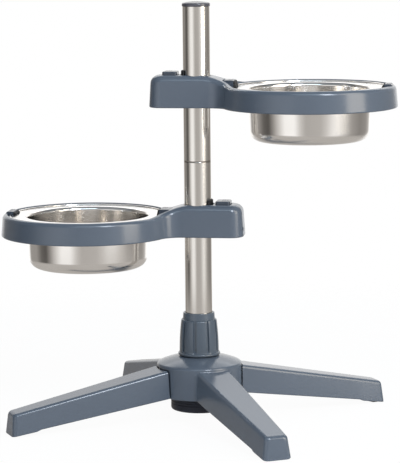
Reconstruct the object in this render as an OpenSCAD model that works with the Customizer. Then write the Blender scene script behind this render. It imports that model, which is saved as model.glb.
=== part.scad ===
// Pet feeder stand: a four-legged base, a two-piece pole and two sliding arms,
// each with a lift-out bowl. Millimetres, +Z up, origin on the floor below the pole.

/* [Pole] */
// Outside diameter of the pole
pole_d = 38; // [32:0.5:42]
// Wall of the pole tubes
pole_wall = 1.5; // [1:0.1:2.5]
// Length of the lower tube
lower_tube_len = 328.5; // [300:0.5:400]
// Length of the upper tube
upper_tube_len = 218; // [200:0.5:300]
// Height of the rolled-in end of each tube at the seam
seam_roll = 2; // [1:0.1:5]
// Thickness of a tube's rolled-in edge at the seam
seam_edge = 0.9; // [0.2:0.1:1]
// Length of the sleeve inside the seam
spigot_len = 80; // [40:1:140]
// Wall of that sleeve
spigot_wall = 2; // [1:0.1:4]

/* [Cap] */
// Height of the cap's straight rim
cap_rim_h = 2.7; // [1:0.1:5]
// Radius of the cap's rounded edge
cap_edge_r = 2.2; // [1:0.1:4]
// Overhang of the cap's rim past the tube
cap_over = 0.9; // [0.4:0.1:2]
// Rise of the cap's dome over its rounded edge
cap_rise = 2; // [1:0.1:5]
// Depth of the cap's plug in the tube
cap_plug = 15; // [8:0.5:30]
// Wall of the cap's plug
cap_wall = 2.4; // [1.5:0.1:4]

/* [Hub] */
// Diameter of the hub
hub_d = 121; // [112:0.5:140]
// Height of the hub's underside over the floor
hub_foot_z = 36; // [32:0.5:42]
// Height of the hub's wall
hub_wall_h = 45.5; // [42:0.5:60]
// Rise of the dome over the wall
hub_rise = 12.6; // [6:0.1:18]
// Radius of the hub's rim
hub_rim_r = 4; // [1:0.1:8]
// Wall of the hub
hub_wall = 3; // [2:0.1:5]
// Floor under the pole's foot
socket_floor = 6; // [4:0.1:10]
// Wall of the socket round the collet
socket_wall = 3; // [2:0.1:5]
// Height of the neck that stands in the collar
neck_h = 12; // [6:0.1:20]
// Thickness of the ribs inside the hub
rib_t = 2.5; // [1.5:0.1:5]

/* [Legs] */
// Turn of the plugged legs from the arms, in degrees
leg_turn = 29.5; // [0:0.5:60]
// Reach of a leg from the pole's axis, at the floor
leg_reach = 285; // [250:1:330]
// Height of a leg's top at the hub, over the floor
leg_root_z = 76; // [72:0.5:80]
// Height of a leg's top at its tip, over the floor
leg_tip_z = 31.8; // [24:0.1:40]
// Height of a leg's sole at its tip, over the floor
leg_tip_gap = 0.8; // [0.4:0.1:3]
// Width of a leg's top at the hub
leg_root_w = 49; // [40:0.5:56]
// Width of a leg's top at its tip
leg_tip_w = 32; // [28:0.5:40]
// Extra half width of a leg at its lower edge, at the hub
leg_draft = 2.6; // [1:0.1:5]
// Extra half width of a leg at its lower edge, at its tip
leg_tip_draft = 4.2; // [1:0.1:6]
// Lean of a leg's end face
leg_lean = 2.5; // [0:0.5:12]
// Radius along a leg's top edges
leg_edge_r = 3.6; // [2:0.1:8]
// Radius of a leg's end corners
leg_corner_r = 6; // [2:0.1:12]
// Radius where a moulded leg flows into the hub
leg_flare_r = 7; // [4:0.5:20]
// Wall of a leg
leg_wall = 3; // [2:0.1:5]
// Number of cells between the ribs under a leg
leg_cells = 4; // [1:1:6]
// Thickness of the ribs under a leg
leg_rib_t = 2.2; // [1.2:0.1:4]
// Length of the solid tip that carries the pad
leg_toe = 38; // [34:0.5:60]
// Drop of the solid tip below a leg's lower edge
leg_toe_drop = 1.6; // [0.5:0.1:3]
// Gap between a plugged leg and the hub
leg_gap = 1.5; // [0.5:0.1:2]
// Width of a plugged leg's tongue
tongue_w = 30; // [20:0.5:36]
// Height of a plugged leg's tongue
tongue_h = 20; // [14:0.5:22]
// Height of the tongue's underside over the hub's underside
tongue_z = 9.5; // [8:0.1:12]
// Floor of the pocket under the tongue
pocket_floor = 2.7; // [2:0.1:4]
// Shank diameter of a leg screw
leg_screw_d = 4; // [3:0.5:6]
// Grip of a leg screw in the tongue
leg_screw_grip = 13; // [8:0.5:18]
// Spacing of the two screws of a leg
leg_screw_pitch = 11; // [9:0.5:14]

/* [Foot pads] */
// Length of a foot pad
pad_l = 24; // [20:0.5:28]
// Width of a foot pad
pad_w = 20; // [16:0.5:30]
// Depth of a foot pad's recess over the floor
pad_h = 11; // [9:0.5:16]
// Rise of a foot pad's inner end
pad_rise = 4.5; // [1:0.1:6]
// Length of a foot pad's flat sole
pad_sole = 8; // [4:0.5:16]

/* [Collar and collet] */
// Height of the collar's underside over the dome's crown
collar_lift = -1.2; // [-2:0.1:4]
// Height of the fluted collar
collar_h = 61; // [56:0.5:70]
// Diameter of the collar's foot flange
collar_foot_d = 60; // [58:0.5:66]
// Height of the collar's foot flange
collar_foot_h = 4; // [2:0.1:8]
// Diameter of the collar's barrel at its foot
collar_d = 56; // [55:0.5:57]
// Diameter of the collar's barrel at its top
collar_top_d = 50.4; // [49:0.1:52]
// Height of the plain band at the collar's top
collar_band_h = 9.5; // [6:0.1:14]
// Diameter of the collar's mouth
collar_mouth_d = 44.5; // [44:0.1:48]
// Number of flutes
flute_n = 9; // [6:1:12]
// Width of a flute
flute_w = 4.4; // [2:0.1:6]
// Turn of the first flute from the arms, in degrees
flute_turn = -95; // [-180:1:180]
// Depth of a flute
flute_t = 1.4; // [0.5:0.1:1.8]
// Wall of the collet
collet_wall = 3; // [2.5:0.1:3.2]
// Draw-in of the collet's conical nose
collet_taper = 1.2; // [0.5:0.1:1.6]
// Length of the collet's conical nose
collet_nose = 20; // [10:0.5:24]
// Height of the collet's foot over the pole's foot
collet_lift = 6; // [2:0.5:12]
// Depth of the collar's lip over the collet
collar_lip = 5; // [3:0.1:8]
// Number of slits in the collet
slit_n = 6; // [4:1:8]
// Width of a slit
slit_w = 1.6; // [1:0.1:3]
// Depth of the slits
slit_l = 42; // [20:0.5:44]

/* [Lock knob] */
// Diameter of the knob under the hub
knob_d = 82; // [60:0.5:96]
// Height of the knob
knob_h = 20; // [14:0.5:22]
// Radius of the knob's lower edge
knob_edge_r = 6; // [2:0.1:9]
// Wall of the knob's cup
knob_wall = 4; // [3:0.1:6]
// Number of grooves round the knob
groove_n = 3; // [1:1:4]
// Depth of a groove
groove_t = 0.6; // [0.3:0.1:1]
// Diameter of the stud
stud_d = 10; // [8:0.5:12]
// Length of the stud above the knob's top
stud_l = 30; // [20:0.5:34]
// Thickness of the washer
washer_t = 1.5; // [1:0.1:3]
// Diameter of the washer
washer_d = 34; // [24:0.5:44]
// Length of the plug in the pole's foot
plug_l = 26; // [20:0.5:40]
// Diameter of the threaded insert
insert_d = 16; // [14:0.5:18]
// Length of the threaded insert
insert_l = 18; // [12:0.5:20]

/* [Arms] */
// Height of the upper arm's underside over the floor
upper_arm_z = 447.1; // [440:0.1:450]
// Height of the lower arm's underside over the floor
lower_arm_z = 264; // [255:0.1:270]
// Height of the clamp block
block_h = 45.4; // [43:0.1:48]
// Width of the clamp block
block_w = 54; // [53:0.5:64]
// Reach of the clamp block behind the pole's axis
block_end = 66.5; // [65:0.5:76]
// Radius of the clamp block's end corners
block_corner_r = 19; // [16:0.5:22]
// Distance from the pole's axis to the ring's centre
ring_off = 159.2; // [158:0.1:166]
// Outside diameter of the ring
ring_d = 247; // [246:0.5:256]
// Height of the ring
ring_h = 31; // [29:0.1:34]
// Radius of the neck between block and ring
neck_r = 27.5; // [18:0.5:34]
// Where the top begins to fall, from the pole's axis
fall_start = 10; // [4:0.5:14]
// Where the top meets the ring's height
fall_end = 56; // [54:0.5:80]
// Inward draft of the sides
arm_draft = 2; // [1:0.1:3]
// Radius along the top edge
arm_edge_r = 6.5; // [3:0.1:7]
// Radius along the top edge at the clamp block's end
arm_end_r = 12; // [8:0.1:12.5]
// Radius along the lower edge
arm_foot_r = 2; // [0.5:0.1:2.4]
// Wall of the moulding
arm_wall = 2.6; // [2:0.1:3]
// Top wall of the clamp block
block_top_t = 4; // [3:0.1:5]
// Drop from the ring's top to the bowl's seat
seat_drop = 4; // [3:0.1:5]
// Width of the rim round the bowl's flange
rim_t = 9.5; // [8:0.1:12]

/* [Cover] */
// Thickness of the block's cover
cover_t = 2.8; // [2:0.1:4]
// Lap of the cover past the pole's boss
cover_lap = 2; // [1:0.1:4]
// Height of the spring's seat over the cover
spring_seat_h = 9; // [4:0.5:12]
// Size of the lugs for the end screws
lug_w = 8; // [7:0.1:10]
// Height of the end screws over the block's underside
end_screw_z = 11.5; // [10:0.1:14]
// Spacing of the end screws
end_screw_pitch = 19; // [14:0.5:24]
// Shank diameter of an end screw
end_screw_d = 3; // [2.5:0.1:4]
// Length of an end screw's shank
end_screw_l = 8; // [6:0.5:10]

/* [Bush and brake] */
// Wall of the guide bush
bush_wall = 2.94; // [2.6:0.01:3]
// Height of the guide bush
bush_h = 30; // [24:0.5:32]
// Thickness of the brake shoe
shoe_t = 2.6; // [2.4:0.1:4]
// Half angle of the brake shoe, in degrees
shoe_half = 37; // [30:1:50]
// Height of the brake shoe over the block's top
shoe_proud = 6.3; // [4:0.1:12]
// Outward travel of the brake shoe at full press
shoe_travel = 1.2; // [0.8:0.1:1.4]
// Thickness of the brake shoe's tail plate
tail_t = 5; // [3:0.1:6]
// Thickness of the riser between the tail plate and the pad
riser_t = 2.4; // [1.6:0.1:2.8]

/* [Button] */
// Distance from the pole's axis to the button's centre
button_off = 37; // [37:0.1:39]
// Length of the button along the arm
button_l = 21; // [16:0.5:21]
// Width of the button across the arm
button_w = 26; // [24:0.5:30]
// Height of the button over the block
button_proud = 5; // [4.5:0.1:8]
// Travel of the button
button_travel = 4; // [3:0.1:4.4]
// Radius of the button's corners
button_r = 4; // [1:0.1:6]
// Rounding of the button's top edge
button_edge_r = 1.6; // [0.5:0.1:3]
// Thickness of the button's stop flange
button_flange_t = 2.2; // [1.5:0.1:3]
// Thickness of the button's cam fingers
finger_t = 3; // [2:0.1:3.2]
// Distance of the cam fingers from the button's middle
finger_off = 9.5; // [9.3:0.1:10]
// Diameter of the return spring, outside the wire
spring_d = 10; // [8:0.5:11]
// Diameter of the return spring's wire
spring_wire = 1.1; // [0.8:0.1:1.4]
// Number of turns of the return spring
spring_turns = 6; // [4:1:9]

/* [Latches] */
// Width of a latch
latch_w = 28; // [20:0.5:32]
// Reach of a resting latch in past the flange's edge
latch_reach = 10; // [8:0.1:11]
// Travel of a latch
latch_travel = 6; // [3:0.1:8]
// Length of the near latch behind its tip
near_latch_l = 19; // [17:0.5:20]
// Height of the near latch's top over the arm's underside
near_latch_z = 38.4; // [36.5:0.1:41]
// Length of the far latch behind its tip
far_latch_l = 14; // [12.5:0.1:14.5]
// Height of the far latch's top over the arm's underside
far_latch_z = 33.4; // [32.5:0.1:35]
// Bevel along a latch's top
latch_bevel = 1; // [0.5:0.1:1.4]
// Length of a latch's soft tip
tip_l = 3.6; // [2:0.1:6]
// Width of the guide foot under a latch
foot_w = 6; // [4:0.1:10]
// Length of the guide foot under a latch
foot_l = 5; // [4:0.1:6]
// Side reach of the guide foot's toes
foot_toe = 3; // [2:0.1:4]

/* [Bowl] */
// Diameter of the bowl's body at its mouth
bowl_d = 174; // [172:0.5:174.5]
// Depth of the bowl below its flange
bowl_depth = 74; // [60:0.1:80]
// Draw-in of the bowl's wall over its depth
bowl_taper = 2.6; // [1:0.1:8]
// Radius at the bowl's foot
bowl_foot_r = 16.5; // [10:0.5:24]
// Thickness of the bowl's sheet
bowl_t = 1.2; // [1:0.1:1.6]
// Bend radius between wall and flange
bend_r = 4; // [2:0.1:4.5]
// Radius of the flange's rolled edge
roll_r = 1.3; // [1.2:0.1:1.8]

/* [Clearances] */
// Radial fit of pieces fixed in one another
fix_fit = 0.05; // [0.02:0.01:0.1]
// Radial fit of pieces that run on one another
run_fit = 0.06; // [0.03:0.01:0.09]
// Gap between pieces that move past one another
gap = 0.4; // [0.3:0.05:0.6]
// Gap round the bowl's flange in its recess
recess_gap = 2; // [1:0.1:3]
// Gap round the bowl's body in the ring's opening
bowl_gap = 3; // [1.5:0.1:5]
// Gap between the brake shoe and the pole
brake_gap = 0.3; // [0.2:0.05:0.6]
// Gap between pieces that sit on one another
seat_gap = 0.3; // [0.2:0.05:0.4]

/* [Hidden] */
$fn = 64;
eps = 0.01;
big = 400;
slate = [0.37, 0.41, 0.47];
dark_slate = [0.25, 0.27, 0.31];
charcoal = [0.15, 0.15, 0.17];
black = [0.06, 0.06, 0.06];
steel = [0.78, 0.77, 0.75];
brass = [0.80, 0.66, 0.35];

// Pole and base, from the floor up
pole_r = pole_d / 2;
tube_in_r = pole_r - pole_wall;
pole_foot_z = hub_foot_z + socket_floor;
seam_z = pole_foot_z + lower_tube_len;
pole_top_z = seam_z + upper_tube_len;
hub_r = hub_d / 2;
hub_top_z = hub_foot_z + hub_wall_h;
dome_z = hub_top_z + hub_rise;
dome_r = (hub_r * hub_r + hub_rise * hub_rise) / (2 * hub_rise);
collet_r = pole_r + fix_fit + collet_wall;
socket_r = collet_r + fix_fit;
neck_out_r = socket_r + socket_wall;
collar_z = dome_z + collar_lift;
neck_top_z = collar_z + neck_h;
collar_top_z = collar_z + collar_h;
collet_z = pole_foot_z + collet_lift;
collet_top_z = collar_top_z - collar_lip;
leg_screw_r = leg_screw_d / 2;
tongue_bot_z = hub_foot_z + tongue_z;
tongue_in = neck_out_r + rib_t;
pocket_z = tongue_bot_z - seat_gap - pocket_floor;
leg_angles = [leg_turn - 90, leg_turn + 90];
plug_angles = [leg_turn, leg_turn + 180];
leg_bury = 20;
heel_u = leg_reach - leg_toe;
heel_l = 8;
flare_a = 75;
tip_round_n = 4;
edge_n = 4;

// Arms, in the arm's own frame: underside at zero, ring towards +X
ring_r = ring_d / 2;
recess_r = ring_r - rim_t;
flange_r = recess_r - recess_gap;
opening_r = bowl_d / 2 + bowl_gap;
block_half = block_w / 2;
neck_x = ring_off - sqrt(pow(ring_r + neck_r, 2) - pow(block_half + neck_r, 2));
neck_a = atan2(block_half + neck_r, neck_x - ring_off);
seat_z = ring_h - seat_drop;
deck_z = seat_z - arm_wall;
channel_in_r = opening_r + arm_wall;
channel_out_r = ring_r - arm_draft - arm_wall;
bush_r = pole_r + run_fit + bush_wall;
bore_r = bush_r + run_fit;
boss_r = bore_r + arm_wall;
bush_z = cover_t + seat_gap;
shoulder_z = bush_z + bush_h + seat_gap;
roof_z = block_h - block_top_t;
pocket_half = block_half - arm_draft - arm_wall;
pocket_end = block_end - arm_draft - arm_wall;
pocket_r = block_corner_r - arm_draft - arm_wall;
pocket_step = arm_end_r / 3;
pocket_shelf_z = block_h - arm_end_r;
cover_front = boss_r + cover_lap;
mouth_r = pole_r + 2 * gap;
shoe_in_r = pole_r + brake_gap;
shoe_out_r = shoe_in_r + shoe_t;
shoe_play = 3;
cam_slope = shoe_travel / button_travel;
tail_z = roof_z - button_flange_t - button_travel - tail_t - 2 * gap;
bridge_z = shoulder_z + gap;
spring_seat_z = cover_t + spring_seat_h;
latch_tip_off = flange_r - latch_reach;
latch_z = seat_z + seat_gap;
tip_z = seat_z + seat_gap + bowl_t + gap;
near_latch_back = latch_tip_off + near_latch_l;
far_latch_back = latch_tip_off + far_latch_l;
notch_r = latch_tip_off - 2 * gap;
ring_n = 44;
neck_n = 7;
corner_n = 8;
round_n = 5;

// Shared forms

// Points of an arc about a centre
function arc(c, r, a0, a1, n) = [for (i = [0:n])
    let (a = a0 + (a1 - a0) * i / n) [c[0] + r * cos(a), c[1] + r * sin(a)]];

// A closed skin through equal rings of points, each counter-clockwise seen from the last
module loft(rings, cap_last = []) {
    n = len(rings[0]);
    m = len(rings) - 1;
    sides = [for (k = [0:m - 1], i = [0:n - 1])
        let (j = (i + 1) % n)
        each [[k * n + i, (k + 1) * n + i, (k + 1) * n + j], [k * n + i, (k + 1) * n + j, k * n + j]]];
    first = [[for (i = [0:n - 1]) i]];
    last = len(cap_last) > 0 ? [for (f = cap_last) [for (i = f) m * n + i]]
        : [[for (i = [n - 1:-1:0]) m * n + i]];
    polyhedron([for (ring = rings) each ring], concat(first, sides, last), convexity = 8);
}

// A ring of revolution between two radii and two heights
module tube(r_in, r_out, z0, z1) {
    translate([0, 0, z0]) difference() {
        cylinder(r = r_out, h = z1 - z0);
        translate([0, 0, -eps]) cylinder(r = r_in, h = z1 - z0 + 2 * eps);
    }
}

// A rectangle with round corners, centred
module round_rect(l, w, r) {
    union() {
        square([l - 2 * r, w], center = true);
        square([l, w - 2 * r], center = true);
        for (x = [-1, 1], y = [-1, 1])
            translate([x * (l / 2 - r), y * (w / 2 - r)]) circle(r);
    }
}

// Base

// Profile of the hub under its dome, shrunk by a wall
module hub_profile(wall) {
    r = hub_r - wall;
    round = max(hub_rim_r - wall, 0.5);
    sphere_z = dome_z - dome_r;
    sphere_r = dome_r - wall;
    rim_x = r - round;
    rim_z = sphere_z + sqrt(pow(sphere_r - round, 2) - rim_x * rim_x);
    blend_x = rim_x * sphere_r / (sphere_r - round);
    translate([rim_x, rim_z]) circle(round);
    square([r, rim_z]);
    intersection() {
        translate([0, sphere_z]) circle(sphere_r, $fn = 256);
        square([blend_x, dome_z]);
    }
}

// The hub as a full solid, shrunk by a wall, from a given height up
module hub_solid(wall, z0) {
    rotate_extrude($fn = 128) intersection() {
        hub_profile(wall);
        translate([0, z0]) square([hub_r, dome_z]);
    }
}

// One cross-section of a leg at a distance from the pole's axis
function leg_part(u) = (u - hub_r) / (leg_reach - hub_r);
function leg_top_z(u) = leg_root_z + (leg_tip_z - leg_root_z) * leg_part(u);
function leg_heel(u) = leg_toe_drop * min(max((u - heel_u) / heel_l + 0.5, 0), 1);
function leg_low_z(u) = hub_foot_z + (leg_tip_gap + leg_toe_drop - hub_foot_z) * leg_part(u) - leg_heel(u);
function leg_half(u) = (leg_root_w + (leg_tip_w - leg_root_w) * leg_part(u)) / 2;
function leg_low_half(u) = leg_half(u) + leg_draft + (leg_tip_draft - leg_draft) * leg_part(u);
function leg_section(u, top_half, low_half, top_z, low_z, r) =
    let (flat = concat([[low_half, low_z]], arc([top_half - r, top_z - r], r, 0, 90, edge_n),
        arc([r - top_half, top_z - r], r, 90, 180, edge_n), [[-low_half, low_z]]))
    [for (p = flat) [u - leg_lean * u / leg_reach * (p[1] - low_z) / (top_z - low_z), p[0], p[1]]];
function leg_station(u, extra) = leg_section(u, leg_half(u) + extra, leg_low_half(u) + extra,
    leg_top_z(u), leg_low_z(u), leg_edge_r);
function leg_tip(a) = let (u = leg_reach - leg_corner_r * (1 - sin(a)), in = leg_corner_r * (1 - cos(a)))
    leg_section(u, leg_half(u) - in, leg_low_half(u) - in, leg_top_z(u) - in / 2,
    leg_low_z(u), leg_edge_r);
heel_rings = [for (x = [-0.5, 0.5]) leg_station(heel_u + x * heel_l, 0)];
tip_rings = concat(heel_rings, [for (i = [0:tip_round_n]) leg_tip(90 * i / tip_round_n)]);
flare_end = hub_r + leg_flare_r - hub_wall / 2;
flare_rings = [for (a = [flare_a:-15:0])
    leg_station(flare_end - leg_flare_r * sin(a), leg_flare_r * (1 - cos(a)))];

// The hollow under a leg, open below, with ribs across it
module leg_hollow(u0) {
    u1 = leg_reach - leg_toe;
    cell = (u1 - u0 + leg_rib_t) / leg_cells;
    for (i = [0:leg_cells - 1])
        loft([for (u = [u0 + i * cell, u0 + (i + 1) * cell - leg_rib_t])
            let (half = leg_half(u) - leg_wall, low_half = leg_low_half(u) - leg_wall,
                top = leg_top_z(u) - leg_wall, low = leg_low_z(u) - 1)
            [[u, low_half, low], [u, half, top], [u, -half, top], [u, -low_half, low]]]);
}

// The recess that takes a foot pad
module pad_place() {
    translate([leg_reach - leg_corner_r - pad_l / 2, 0]) children();
}
module pad_recess() {
    pad_place() translate([0, 0, -eps])
        linear_extrude(pad_h) square([pad_l + 2 * fix_fit, pad_w + 2 * fix_fit], center = true);
}

// A leg moulded in one with the hub
module moulded_leg() {
    difference() {
        loft(concat([leg_station(hub_r - leg_bury, leg_flare_r * (1 - cos(flare_a)))],
            flare_rings, tip_rings));
        translate([0, 0, -big / 2]) cylinder(r = hub_r - hub_wall / 2, h = big, $fn = 128);
        leg_hollow(flare_end);
        pad_recess();
    }
}

// Pocket in the hub for a plugged leg's tongue
module leg_pocket() {
    half = tongue_w / 2 + gap;
    intersection() {
        hub_solid(hub_wall / 2, 0);
        difference() {
            translate([neck_out_r - 1, -half - rib_t, pocket_z])
                cube([hub_r, 2 * (half + rib_t), dome_z]);
            translate([neck_out_r - 2, -half, pocket_z + pocket_floor])
                cube([hub_r + 2, 2 * half, dome_z]);
        }
    }
}
function leg_screw_places() = [for (i = [0, 1])
    hub_r - hub_wall - leg_screw_d - 2 - leg_screw_pitch * i];

module base_hub() color(slate) {
    difference() {
        union() {
            difference() {
                hub_solid(0, hub_foot_z);
                hub_solid(hub_wall, -1);
            }
            translate([0, 0, hub_foot_z]) cylinder(r = neck_out_r, h = neck_top_z - hub_foot_z);
            for (a = plug_angles) rotate(a) leg_pocket();
            intersection() {
                hub_solid(hub_wall / 2, hub_foot_z + tongue_z);
                for (a = [45, 135, 225, 315]) rotate(leg_turn + a)
                    translate([neck_out_r - 1, -rib_t / 2, 0]) cube([hub_r, rib_t, dome_z]);
            }
            for (a = leg_angles) rotate(a) moulded_leg();
        }
        translate([0, 0, pole_foot_z]) cylinder(r = socket_r, h = dome_z);
        cylinder(r = stud_d / 2 + gap, h = dome_z);
        for (a = plug_angles) rotate(a) {
            translate([tongue_in, -tongue_w / 2 - gap, tongue_bot_z - seat_gap])
                cube([hub_r, tongue_w + 2 * gap, tongue_h + 2 * seat_gap]);
            for (x = leg_screw_places()) translate([x, 0, hub_foot_z])
                cylinder(r = leg_screw_r + gap, h = tongue_z);
        }
    }
}

module side_leg(a) rotate(a) color(slate) {
    difference() {
        union() {
            difference() {
                loft(concat([leg_station(hub_r - leg_bury, 0)], tip_rings));
                translate([0, 0, -big / 2]) cylinder(r = hub_r + leg_gap, h = big, $fn = 128);
                leg_hollow(hub_r + leg_gap + 3 * leg_wall);
            }
            translate([tongue_in + seat_gap, -tongue_w / 2, tongue_bot_z])
                cube([hub_r + leg_gap + leg_wall - tongue_in, tongue_w, tongue_h]);
        }
        pad_recess();
        for (x = leg_screw_places()) translate([x, 0, tongue_bot_z - eps])
            cylinder(r = leg_screw_r + fix_fit, h = leg_screw_grip + 1);
    }
}
module side_leg_right() side_leg(plug_angles[0]);
module side_leg_left() side_leg(plug_angles[1]);

module leg_screws() color(steel)
    for (a = plug_angles, x = leg_screw_places()) rotate(a) translate([x, 0, pocket_z]) {
        cylinder(r = leg_screw_r, h = tongue_bot_z - pocket_z + leg_screw_grip);
        translate([0, 0, -leg_screw_r]) cylinder(r = leg_screw_d, h = leg_screw_r);
    }

module foot_pads() color(charcoal)
    for (a = concat(leg_angles, plug_angles)) rotate(a) pad_place() rotate([90, 0, 0])
        linear_extrude(pad_w, center = true) polygon([[pad_l / 2, 0], [pad_l / 2, pad_h - seat_gap],
            [-pad_l / 2, pad_h - seat_gap], [-pad_l / 2, pad_rise],
            [pad_l / 2 - pad_sole, 0]]);

module pole_collet() color(charcoal)
    difference() {
        rotate_extrude() polygon([[pole_r + fix_fit, collet_z], [collet_r, collet_z],
            [collet_r, collet_top_z - collet_nose], [collet_r - collet_taper, collet_top_z],
            [pole_r + fix_fit, collet_top_z]]);
        for (i = [0:slit_n - 1]) rotate(i * 360 / slit_n)
            translate([0, -slit_w / 2, collet_top_z - slit_l]) cube([hub_r, slit_w, slit_l + 1]);
    }

module collar_profile() {
    foot_r = collar_foot_d / 2;
    barrel_r = collar_d / 2;
    barrel_z = collar_z + collar_foot_h;
    barrel_h = collar_h - collar_foot_h - collar_band_h;
    drop = (collar_d - collar_top_d) / 2;
    bow_r = (barrel_h * barrel_h + drop * drop) / (2 * drop);
    foot_round = collar_foot_h / 2;
    band_z = barrel_z + barrel_h;
    band_r = collar_top_d / 2 - flute_t;
    translate([foot_r - foot_round, collar_z + foot_round]) circle(foot_round);
    translate([0, collar_z]) square([foot_r - foot_round, collar_foot_h]);
    intersection() {
        translate([barrel_r - bow_r, barrel_z]) circle(bow_r, $fn = 512);
        translate([0, barrel_z - eps]) square([barrel_r, barrel_h + eps]);
    }
    polygon([[0, band_z - eps], [band_r, band_z - eps], [collar_mouth_d / 2, collar_top_z],
        [0, collar_top_z]]);
}

module clamp_collar() color(slate) {
    neck_room = neck_out_r + gap;
    nose_room = collet_r + gap;
    nose_z = collet_top_z - collet_nose;
    tip_room = collet_r - collet_taper + gap;
    barrel_z = collar_z + collar_foot_h;
    barrel_h = collar_h - collar_foot_h - collar_band_h;
    lean = atan((collar_d - collar_top_d) / 2 / barrel_h);
    difference() {
        rotate_extrude($fn = 96) difference() {
            collar_profile();
            polygon([[0, collar_z - 1], [neck_room, collar_z - 1], [neck_room, neck_top_z + gap],
                [nose_room, neck_top_z + gap], [nose_room, nose_z], [tip_room, collet_top_z + gap],
                [pole_r + gap, collet_top_z + gap], [pole_r + gap, collar_top_z + 1],
                [0, collar_top_z + 1]]);
        }
        for (i = [0:flute_n - 1]) rotate(i * 360 / flute_n + flute_turn)
            translate([collar_d / 2 - flute_t, 0, barrel_z + 1]) rotate([0, -lean, 0])
                translate([0, -flute_w / 2, 0]) cube([3 * flute_t, flute_w, barrel_h + 1]);
    }
}

knob_top_z = hub_foot_z - washer_t - seat_gap;
knob_z = knob_top_z - knob_h;
module lock_knob() color(charcoal)
    rotate_extrude($fn = 96) difference() {
        union() {
            translate([0, knob_z + knob_edge_r]) square([knob_d / 2, knob_h - knob_edge_r]);
            translate([0, knob_z]) square([knob_d / 2 - knob_edge_r, knob_edge_r]);
            translate([knob_d / 2 - knob_edge_r, knob_z + knob_edge_r]) circle(knob_edge_r);
        }
        translate([0, knob_z - 1]) square([stud_d / 2 + fix_fit, knob_h + 2]);
        translate([stud_d + knob_wall, knob_z - 1])
            square([knob_d / 2 - knob_edge_r - stud_d - knob_wall, knob_h - knob_wall + 1]);
        for (i = [1:groove_n]) translate([knob_d / 2 - groove_t,
            knob_z + knob_edge_r + (knob_h - knob_edge_r) * i / (groove_n + 1)])
            square([2 * groove_t, 2 * groove_t], center = false);
    }

module knob_stud() color(steel)
    translate([0, 0, knob_z + knob_wall]) cylinder(r = stud_d / 2, h = knob_h - knob_wall + stud_l);

module knob_washer() color(steel)
    tube(stud_d / 2 + gap, washer_d / 2, hub_foot_z - washer_t, hub_foot_z);

module foot_plug() color(charcoal)
    difference() {
        tube(stud_d / 2 + gap, tube_in_r - fix_fit, pole_foot_z, pole_foot_z + plug_l);
        translate([0, 0, pole_foot_z + plug_l - insert_l])
            cylinder(r = insert_d / 2 + fix_fit, h = insert_l + 1);
    }

module plug_insert() color(brass)
    tube(stud_d / 2 + run_fit, insert_d / 2, pole_foot_z + plug_l - insert_l + fix_fit,
        pole_foot_z + plug_l);

// Pole

// A tube whose one end rolls in at the seam
module pole_tube(z_plain, z_seam) {
    way = z_seam > z_plain ? 1 : -1;
    z_roll = z_seam - way * seam_roll;
    roll_in = pole_wall - seam_edge;
    round = (seam_roll * seam_roll + roll_in * roll_in) / (2 * roll_in);
    rotate_extrude($fn = 96) {
        translate([tube_in_r, min(z_plain, z_roll)]) square([pole_wall, abs(z_roll - z_plain)]);
        intersection() {
            translate([pole_r - round, z_roll]) circle(round, $fn = 128);
            translate([tube_in_r, min(z_roll - way * eps, z_seam - way * fix_fit)])
                square([pole_wall, seam_roll - fix_fit + eps]);
        }
    }
}
module lower_tube() color(steel) pole_tube(pole_foot_z, seam_z);
module upper_tube() color(steel) pole_tube(pole_top_z, seam_z);

module tube_spigot() color(steel)
    tube(tube_in_r - fix_fit - spigot_wall, tube_in_r - fix_fit, seam_z - spigot_len / 2,
        seam_z + spigot_len / 2);

module top_cap() color(dark_slate) {
    rim = pole_r + cap_over;
    plug_r = tube_in_r - fix_fit;
    edge_x = rim - cap_edge_r;
    edge_z = pole_top_z + cap_rim_h;
    edge_drop = cap_rise + cap_edge_r;
    dome = (edge_x * edge_x + edge_drop * edge_drop - cap_edge_r * cap_edge_r) / (2 * cap_rise);
    blend_x = edge_x * dome / (dome - cap_edge_r);
    rotate_extrude($fn = 96) difference() {
        union() {
            translate([0, pole_top_z]) square([rim, cap_rim_h]);
            translate([edge_x, edge_z]) circle(cap_edge_r);
            intersection() {
                translate([0, edge_z + edge_drop - dome]) circle(dome, $fn = 256);
                translate([0, edge_z - eps]) square([blend_x, edge_drop + 1]);
            }
            translate([0, pole_top_z - cap_plug]) square([plug_r, cap_plug + eps]);
        }
        translate([0, pole_top_z - cap_plug - 1]) square([plug_r - cap_wall, cap_plug + 1]);
    }
}

// Arms

// Half of the arm's plan, drawn in by a distance, from the ring's far point to the block's end
function arm_half_plan(d) = concat(
    arc([ring_off, 0], ring_r - d, 0, neck_a, ring_n),
    [for (i = [1:neck_n]) let (a = neck_a - 180 + (90 - neck_a) * i / neck_n)
        [neck_x + (neck_r + d) * cos(a), block_half + neck_r + (neck_r + d) * sin(a)]],
    [[fall_start, block_half - d]],
    arc([block_corner_r - block_end, block_half - block_corner_r], block_corner_r - d, 90, 180, corner_n));
function arm_plan(d) = let (half = arm_half_plan(d), m = len(half) - 1)
    concat(half, [for (i = [m:-1:1]) [half[i][0], -half[i][1]]]);

// Height of the arm's top along its length
function arm_top(x) = let (t = min(max((x - fall_start) / (fall_end - fall_start), 0), 1))
    block_h + (ring_h - block_h) * t * t * (3 - 2 * t);

// Radius of the arm's top edge along its length
function edge_r(x) = let (t = min(max((x + block_end) / (block_end - button_off), 0), 1))
    arm_end_r + (arm_edge_r - arm_end_r) * t * t * (3 - 2 * t);

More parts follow.
